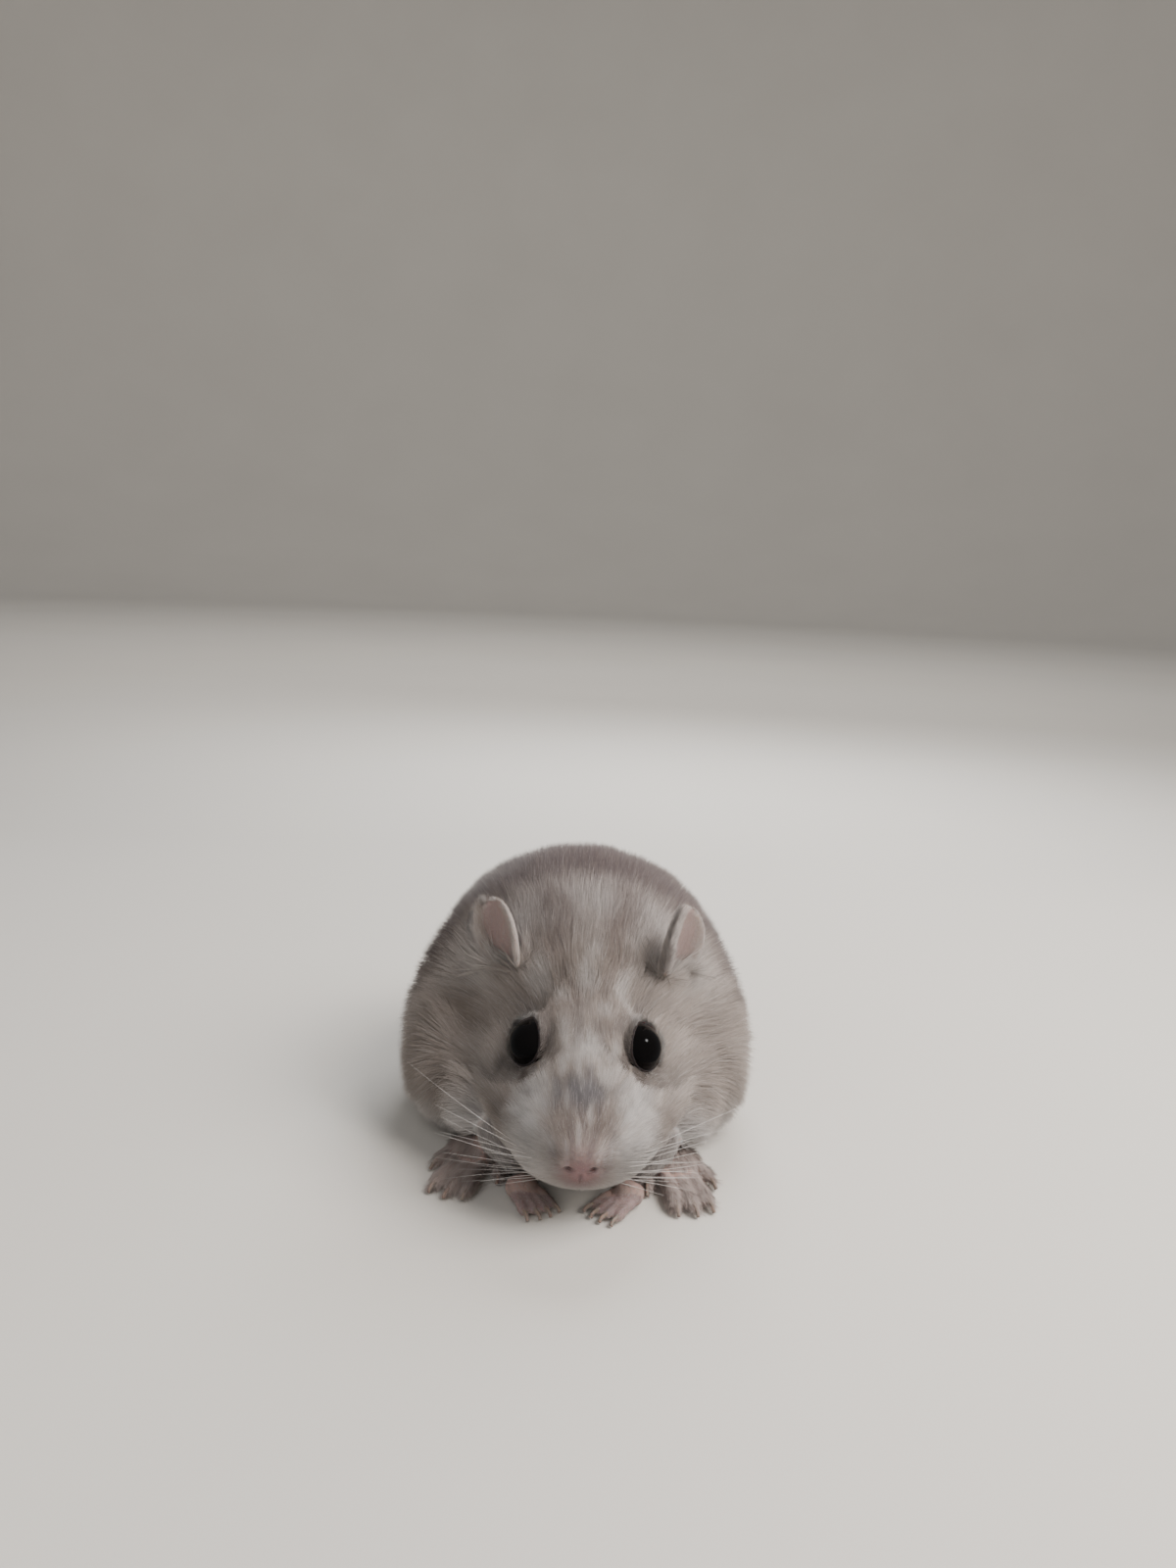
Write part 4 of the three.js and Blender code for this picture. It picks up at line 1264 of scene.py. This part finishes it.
def skin_samples(counts, rng):
    """Roots over the skin for the long and the short tufts: place, normal, unwrapped place and whether it
    is short."""
    mesh = bpy.data.objects["skin"].data
    co = read(mesh.vertices, "co", 3) / MM
    normal = read(mesh.vertex_normals, "vector", 3)
    tri = triangle_corners(mesh)
    uv = read(mesh.uv_layers["OFBake"].data, "uv", 2).reshape(-1, 3, 2)

    middle = co[tri].mean(1)
    facing = unit(normal[tri].mean(1))
    area = np.linalg.norm(np.cross(co[tri[:, 1]] - co[tri[:, 0]], co[tri[:, 2]] - co[tri[:, 0]]), axis=1) / 2
    part, _, share = parts_at(middle)
    _, _, length = guided(middle)
    short = ((length < SHORT_BELOW) | np.isin(part, ("ear", "leg", *PAWS))) & (part != "tail")
    wanted = tuft_density(middle, facing, part, share, length)

    out = []
    for is_short, count in zip((False, True), counts):
        weight = np.cumsum(area * wanted * (short == is_short))
        pick = np.searchsorted(weight, rng.uniform(0, weight[-1], count))
        u, v = rng.uniform(size=(2, count))
        over = u + v > 1
        u, v = np.where(over, 1 - u, u), np.where(over, 1 - v, v)
        shares = np.stack([1 - u - v, u, v], -1)[..., None]
        root = (co[tri[pick]] * shares).sum(1)
        up = unit((normal[tri[pick]] * shares).sum(1))
        out.append((root, up, (uv[pick] * shares).sum(1), np.full(count, is_short)))
    return [np.concatenate(parts) for parts in zip(*out)]


# Length of the hair and depth of the coat on the parts with hair of their own, in millimetres
PART_HAIR = {
    "leg": (2.8, 0.9),
    "hand": (0.9, 0.16),
    "hand_digit": (0.9, 0.16),
    "foot": (2.7, 0.5),
    "foot_digit": (2.7, 0.5),
    "ear": (0.7, 0.13),
}
EAR_EDGE_HAIR = (1.9, 0.7)


def coat_at(root, part, along, share):
    """The way that the hair lies at each root, the coat's depth and its tufts' length."""
    lie, depth, length = guided(root)
    lie = np.where((part != "body")[:, None], along, lie)
    brush = smoothstep(0.62, 0.85, share)
    length = np.where(part == "tail", 3.6 + 5.2 * brush, length)
    depth = np.where(part == "tail", 1.1 + 0.7 * brush, depth)
    for name, (long, deep) in PART_HAIR.items():
        length = np.where(part == name, long, length)
        depth = np.where(part == name, deep, depth)
    # Long hair grows forward from the inner edge of each ear.
    for sign in (1, -1):
        side = ear_axes(sign)[3]
        edge = (part == "ear") & (root[:, 0] * sign > 0) & (share * np.sign(side[0]) < -0.55)
        length = np.where(edge, EAR_EDGE_HAIR[0], length)
        depth = np.where(edge, EAR_EDGE_HAIR[1], depth)
    return lie, depth, length


def turned_from_eyes(root, up, way, depth, length):
    """The hair's way, depth and length, shorter round an eye and turned aside there, so that none crosses
    it, and how near the lids each root is, from 0 to 1."""
    rim = np.zeros(len(root))
    for sign in (1, -1):
        away, r, _ = lid_distance(root, sign)
        close = r < EYE["radius"] + 5
        inwards = across_from(eye_centre(sign) - root, up)
        round_it = np.cross(up, inwards)
        turn = np.where((way * round_it).sum(-1) < 0, -0.8, 0.8)[:, None]
        near = smoothstep(4.5, 0.6, away) * close * np.maximum((way * inwards).sum(-1), 0)
        way = unit(way + near[:, None] * (round_it * turn - inwards * 1.1))
        shorter = np.where(close, lerp(0.42, 1, smoothstep(0.2, 2.6, away)), 1)
        length, depth = length * shorter, depth * shorter
        rim = np.maximum(rim, smoothstep(1.9, 0.3, away) * close)
    return way, depth, length, rim


def kept_off_eyes(root, tips):
    """Tips drawn back towards their roots until none stands over an eye's opening."""
    for sign in (1, -1):
        for _ in range(4):
            away, r, _ = lid_distance(tips, sign)
            over = (away < 0.15) & (r < EYE["radius"] + 3)
            tips = np.where(over[:, None], lerp(root, tips, 0.6), tips)
    return tips


# Three large primes that turn a cell's whole numbers into one that few other cells share
PRIMES = np.array([73856093, 19349663, 83492791])


def lock_of(root, length):
    """The lock that each tuft belongs to: a cell of a warped grid, which is coarser where hair is longer."""
    warped = root + 0.5 * np.stack([ripple(root, 3.1, seed) for seed in (21, 22, 23)], -1)
    grain = np.select([length < 3.125, length < 5.625], [0.8, 1.2], 1.7)
    key = np.floor(warped / grain[:, None]).astype(np.int64)
    code = np.bitwise_xor.reduce(key * PRIMES, axis=1) * 4 + (grain * 2).astype(int)
    return np.unique(code, return_inverse=True)[1]


def gathered(root, tips, length, lock, strength):
    """Tips drawn towards their lock's mean, but for those by an eye and those that are far from it."""
    many = np.bincount(lock)
    mean = np.stack([np.bincount(lock, tips[:, k]) / many for k in range(3)], -1)[lock]
    pull = np.where(np.linalg.norm(mean - tips, axis=1) < length * 0.6, strength, 0)
    for sign in (1, -1):
        pull = np.where(np.linalg.norm(root - eye_centre(sign), axis=1) < EYE["radius"] + 2.5, 0, pull)
    return lerp(tips, mean, pull[:, None])


def tuft_tones(root, up, part, share, rim, lock, rng):
    """Colours of each tuft's root and tip: the coat's own, varied from tuft to tuft and lock to lock."""
    colours = colour_table()
    count = len(root)
    base, dark, pink = coat_colour(root, up, part, share, colours)
    tone = 1 + 0.07 * rng.normal(size=count) + 0.05 * ripple(root, 3.5, 31)
    tone = tone + 0.05 * rng.normal(size=lock.max() + 1)[lock]
    base = base * (np.clip(tone, 0.6, 1.4) * (1 - 0.5 * rim))[:, None]
    fleck = rng.uniform(size=count) < 0.12 + 0.25 * dark
    pale = rng.uniform(size=count) < 0.10
    base = np.where(pale[:, None], lerp(base, colours["white"], 0.4), base)
    deep = lerp(base * 0.86, colours["slate"] * 0.9, 0.25)
    reach = np.clip(dark * rng.uniform(0.3, 1.3, count) + 0.2 * fleck, 0, 0.95)
    ends = lerp(base * 1.06, colours["dark"], reach[:, None])
    paw, ear_ = np.isin(part, PAWS), part == "ear"
    bare = pink * np.where(ear_, 0.12, np.where(paw, 0.45, 0.8)) * rng.uniform(0.5, 1.2, count)
    bare = np.clip(bare, 0, 1)[:, None]
    flesh_tone = np.where((paw | ear_)[:, None], colours["pink"], colours["nose"])
    return lerp(deep, flesh_tone, bare), lerp(ends, flesh_tone * 1.1, bare)


# The most tufts in one piece of the coat, at four triangles each
TUFTS_A_PIECE = 48000


class GERBIL_OT_coat(bpy.types.Operator):
    """Makes the coat: thin tufts that lie along the body, gathered in locks"""

    bl_idname = "gerbil.coat"
    bl_label = "Coat"

    def execute(self, context):
        sizes = context.scene.gerbil_sizes
        rng = np.random.default_rng(sizes.seed)
        fewer, thicker = ((1, 1.0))
        root, up, uv, short = skin_samples((sizes.long_tufts // fewer, sizes.short_tufts // fewer), rng)
        count = len(root)
        part, along, share = parts_at(root)
        ear_ = part == "ear"
        lie, depth, length = coat_at(root, part, along, share)
        way, depth, length, rim = turned_from_eyes(root, up, across_from(lie, up), depth, length)

        side = np.cross(up, way)
        sway = np.radians(6) * ripple(root, 7, 11) + np.radians(4) * ripple(root, 2.4, 12)
        sway = sway + np.radians(8) * rng.normal(size=count)
        way = way * np.cos(sway)[:, None] + side * np.sin(sway)[:, None]
        length = length * sizes.length * rng.uniform(0.78, 1.18, count)
        guard = rng.uniform(size=count) < 0.05
        length = np.where(guard, length * 1.22, length)
        width = (0.085 + 0.009 * length) * sizes.width * rng.uniform(0.75, 1.25, count)
        width = thicker * np.where(guard, width * 0.7, np.where(ear_, width * 0.75, width))

        # The tip stands at the coat's depth, so the lift is what that depth needs.
        rise = np.clip(depth * rng.uniform(0.7, 1.05, count) / length, 0.08, 0.85)
        lift = np.arcsin(rise)[:, None]
        tips = root + (way * np.cos(lift) + up * np.sin(lift)) * length[:, None]
        tips = kept_off_eyes(root, tips)
        lock = lock_of(root, length)
        loose = np.isin(part, ("ear", "leg", *PAWS))
        strength = sizes.clump * np.where(loose, 0.3, 1.0) * rng.uniform(0.5, 1.2, count)
        tips = gathered(root, tips, length, lock, strength)
        tones = tuft_tones(root, up, part, share, rim, lock, rng)

        mat = coat_material()
        for kind, chosen in (("long", ~short), ("short", short)):
            chosen = np.flatnonzero(chosen)
            order = chosen[np.argsort(root[chosen, 1], kind="stable")]
            pieces = max(1, math.ceil(len(order) / TUFTS_A_PIECE))
            for i, take in enumerate(np.array_split(order, pieces)):
                own_tones = [tone[take] for tone in tones]
                name = f"coat_{kind}_{i + 1}"
                obj = tuft_mesh(name, root[take], up[take], width[take], tips[take], own_tones, uv[take])
                obj.data.materials.append(mat)
                place_on_body(obj, "coat")
        return {"FINISHED"}


WHISKER_ROWS = 5
WHISKER_STEPS = 14


def whisker(path, t):
    """A four-sided hair round a path, which thins out to its tip over t from 0 to 1."""
    ahead = unit(np.gradient(path, axis=0))
    side = across_from(UPRIGHT + 0 * ahead, ahead)
    other = np.cross(ahead, side)
    thick = 0.032 * (1 - t) ** 0.7 + 0.008
    angle = np.radians([0, 90, 180, 270])[None, :, None]
    ring = side[:, None] * np.cos(angle) + other[:, None] * np.sin(angle)
    points, faces = closed(path[:, None] + ring * thick[:, None])
    points[:, 2] = np.maximum(points[:, 2], LEAST_HEIGHT["whiskers"])
    return points, faces


class GERBIL_OT_whiskers(bpy.types.Operator):
    """Makes the whiskers of the muzzle"""

    bl_idname = "gerbil.whiskers"
    bl_label = "Whiskers"

    def execute(self, context):
        sizes = context.scene.gerbil_sizes
        rng = np.random.default_rng(sizes.seed + 1)
        longest = sizes.whisker_length / MM
        colours = colour_table()
        t = np.linspace(0, 1, WHISKER_STEPS)[:, None]
        fade = np.concatenate([[0], np.repeat(t[:, 0], 4), [1]])[:, None]
        shade = lerp(colours["cream"], colours["white"], np.clip(fade * 3, 0, 1))
        made = []
        for sign in (1, -1):
            for k in range(sizes.whiskers):
                row, column = k % WHISKER_ROWS, k // WHISKER_ROWS
                # Of each pair of draws the second tips the whisker, and the first only keeps their order.
                tip_up = -0.2 - 0.95 * row + 0.2 * rng.normal(size=2)[1]
                angle = math.radians(-8 - 9 * row)
                start = body_surface(np.array([2.2 + 0.45 * column]), np.array([angle]))[0]
                start[0] *= sign
                start -= unit(start - in_head(6, 0, -2)) * 0.8
                long = longest * (0.4 + 0.13 * column) * rng.uniform(0.65, 1.15)
                above = 0.10 + tip_up * 0.17 * 0.9 + 0.08 * rng.normal()
                way = turned_in_head(0.15 + 0.16 * column, sign * 1.0, above)
                droop = -UPRIGHT * long * rng.uniform(0.08, 0.2)
                back = turned_in_head(1, 0, 0.1) * long * rng.uniform(0.08, 0.22)
                made.append(whisker(start + way * long * t + (droop + back) * t**2, t))
        obj = new_mesh("whiskers", *joined(made))
        paint(obj.data, "hair", np.tile(shade, (len(made), 1)))
        obj.data.materials.append(whisker_material())
        place_on_body(obj, "coat")
        return {"FINISHED"}


# The bowl about the origin, in millimetres: where it is flat to, its quarter circle and its height
BOWL = {"flat": 1800, "bend": 900, "high": 2600}
BACKDROP_LIGHTS = 3
# The camera: focal length in pixels of an image 1600 high, sensor and place in millimetres, angles in
# degrees
IMAGE_HIGH = 1600
FOCAL_PIXELS = 1209
SENSOR = 36
CAMERA_ANGLES = (10.692, 0.178, 2.591)
CAMERA_PLACE = (-1.83, -177.45, 89.81)


class GERBIL_OT_stage(bpy.types.Operator):
    """Makes the pale floor, the soft lights and the camera"""

    bl_idname = "gerbil.stage"
    bl_label = "Stage"

    def execute(self, context):
        scene = context.scene
        # A bowl about the origin: flat, then a quarter circle up to a low wall.
        quarter = np.linspace(0, math.pi / 2, 24)
        flat, bend = BOWL["flat"], BOWL["bend"]
        out = np.concatenate([[20, 400, 900, 1400], flat + bend * np.sin(quarter), [flat + bend]])
        high = np.concatenate([[0, 0, 0, 0], bend - bend * np.cos(quarter), [BOWL["high"]]])
        out, high, turn = out[:, None], high[:, None], turns(96)
        corners, faces = closed(np.stack([out * np.cos(turn), out * np.sin(turn), high + 0 * turn], -1))
        # The bowl is open above and is seen from inside, so its lid goes and its faces are turned round.
        lid = len(corners) - 1
        floor = new_mesh("floor", corners[:lid], faces[(faces != lid).all(1)][:, ::-1])
        floor.data.materials.append(floor_material())
        floor.visible_glossy = False  # keeps its pale reflection out of the eyes

        # name, place and target in millimetres, width in millimetres, power in watts, colour
        lights = [
            ("key", (245, -80, 310), (0, 0, 15), 330, 2.75, "#fff7ef"),
            ("glint", (215, -130, 290), (0, 0, 15), 70, 0.22, "#ffffff"),
            ("fill", (-150, -280, 300), (0, 0, 15), 380, 0.55, "#f6f4f2"),
            ("back", (60, 330, 300), (0, 0, 20), 260, 1.9, "#ffffff"),
        ]
        # The others look outwards, away from the animal, and light the upright part of the bowl.
        for k, turn in enumerate(turns(BACKDROP_LIGHTS)):
            x, y = math.sin(turn), math.cos(turn)
            place, target = (350 * x, 350 * y, 900), (2500 * x, 2500 * y, 500)
            lights.append((f"backdrop_{k + 1}", place, target, 700, 16, "#fffaf4"))
        for name, place, target, wide, power, tint in lights:
            data = bpy.data.lights.new(name, "AREA")
            data.shape = "DISK"
            data.size = wide * MM
            data.energy = power
            data.color = linear(tint)
            lamp = bpy.data.objects.new(name, data)
            place, target = np.array(place, float), np.array(target, float)
            back = unit(place - target)
            right = unit(np.cross([0, 0, 1], back))
            lamp.visible_glossy = name == "glint"  # the eyes show one small highlight
            lamp.visible_camera = False
            lamp.matrix_world = placed(right, np.cross(back, right), back, place)
            scene.collection.objects.link(lamp)

        world = bpy.data.worlds.new("studio")
        world.use_nodes = True
        sky = world.node_tree.nodes["Background"]
        sky.inputs["Color"].default_value = (*linear("#e9ecef"), 1)
        sky.inputs["Strength"].default_value = 0.2
        scene.world = world

        camera = bpy.data.cameras.new("camera")
        camera.lens = FOCAL_PIXELS / IMAGE_HIGH * SENSOR
        camera.sensor_width = SENSOR
        camera.clip_start, camera.clip_end = 0.005, 20
        obj = bpy.data.objects.new("camera", camera)
        pitch, yaw, roll = (math.radians(v) for v in CAMERA_ANGLES)
        level = np.array([math.sin(yaw), math.cos(yaw), 0.0])
        ahead = level * math.cos(pitch) - UPRIGHT * math.sin(pitch)
        right = np.array([math.cos(yaw), -math.sin(yaw), 0.0])
        up = np.cross(right, ahead)
        tilted = right * math.cos(roll) + up * math.sin(roll)
        up = up * math.cos(roll) - right * math.sin(roll)
        obj.matrix_world = placed(tilted, up, -ahead, CAMERA_PLACE)
        scene.collection.objects.link(obj)
        scene.camera = obj
        return {"FINISHED"}


def placed(right, up, back, place):
    """A matrix from three axes and a place in millimetres."""
    m = np.eye(4)
    m[:3, :4] = np.stack([right, up, back, np.asarray(place) * MM], 1)
    return Matrix(m.tolist())


OPERATORS = (
    GERBIL_OT_skin,
    GERBIL_OT_eyes,
    GERBIL_OT_claws,
    GERBIL_OT_coat,
    GERBIL_OT_whiskers,
    GERBIL_OT_stage,
)


class GERBIL_PT_parts(bpy.types.Panel):
    """Lists the settings and the operators"""

    bl_idname = "GERBIL_PT_parts"
    bl_label = "Gerbil"
    bl_space_type = "VIEW_3D"
    bl_region_type = "UI"
    bl_category = "Gerbil"

    def draw(self, context):
        layout = self.layout
        for group in (context.scene.gerbil_sizes, context.scene.gerbil_colours):
            for name in group.__annotations__:
                layout.prop(group, name)
        for operator in OPERATORS:
            layout.operator(operator.bl_idname)


CLASSES = (GerbilColours, GerbilSizes, *OPERATORS, GERBIL_PT_parts)


def register():
    for cls in CLASSES:
        bpy.utils.register_class(cls)
    bpy.types.Scene.gerbil_colours = bpy.props.PointerProperty(type=GerbilColours)
    bpy.types.Scene.gerbil_sizes = bpy.props.PointerProperty(type=GerbilSizes)


def unregister():
    del bpy.types.Scene.gerbil_sizes
    del bpy.types.Scene.gerbil_colours
    for cls in reversed(CLASSES):
        bpy.utils.unregister_class(cls)


def main():
    register()
    bpy.ops.gerbil.stage()
    bpy.ops.gerbil.skin()
    bpy.ops.gerbil.eyes()
    bpy.ops.gerbil.claws()
    bpy.ops.gerbil.coat()
    bpy.ops.gerbil.whiskers()


if __name__ == "__main__":
    main()
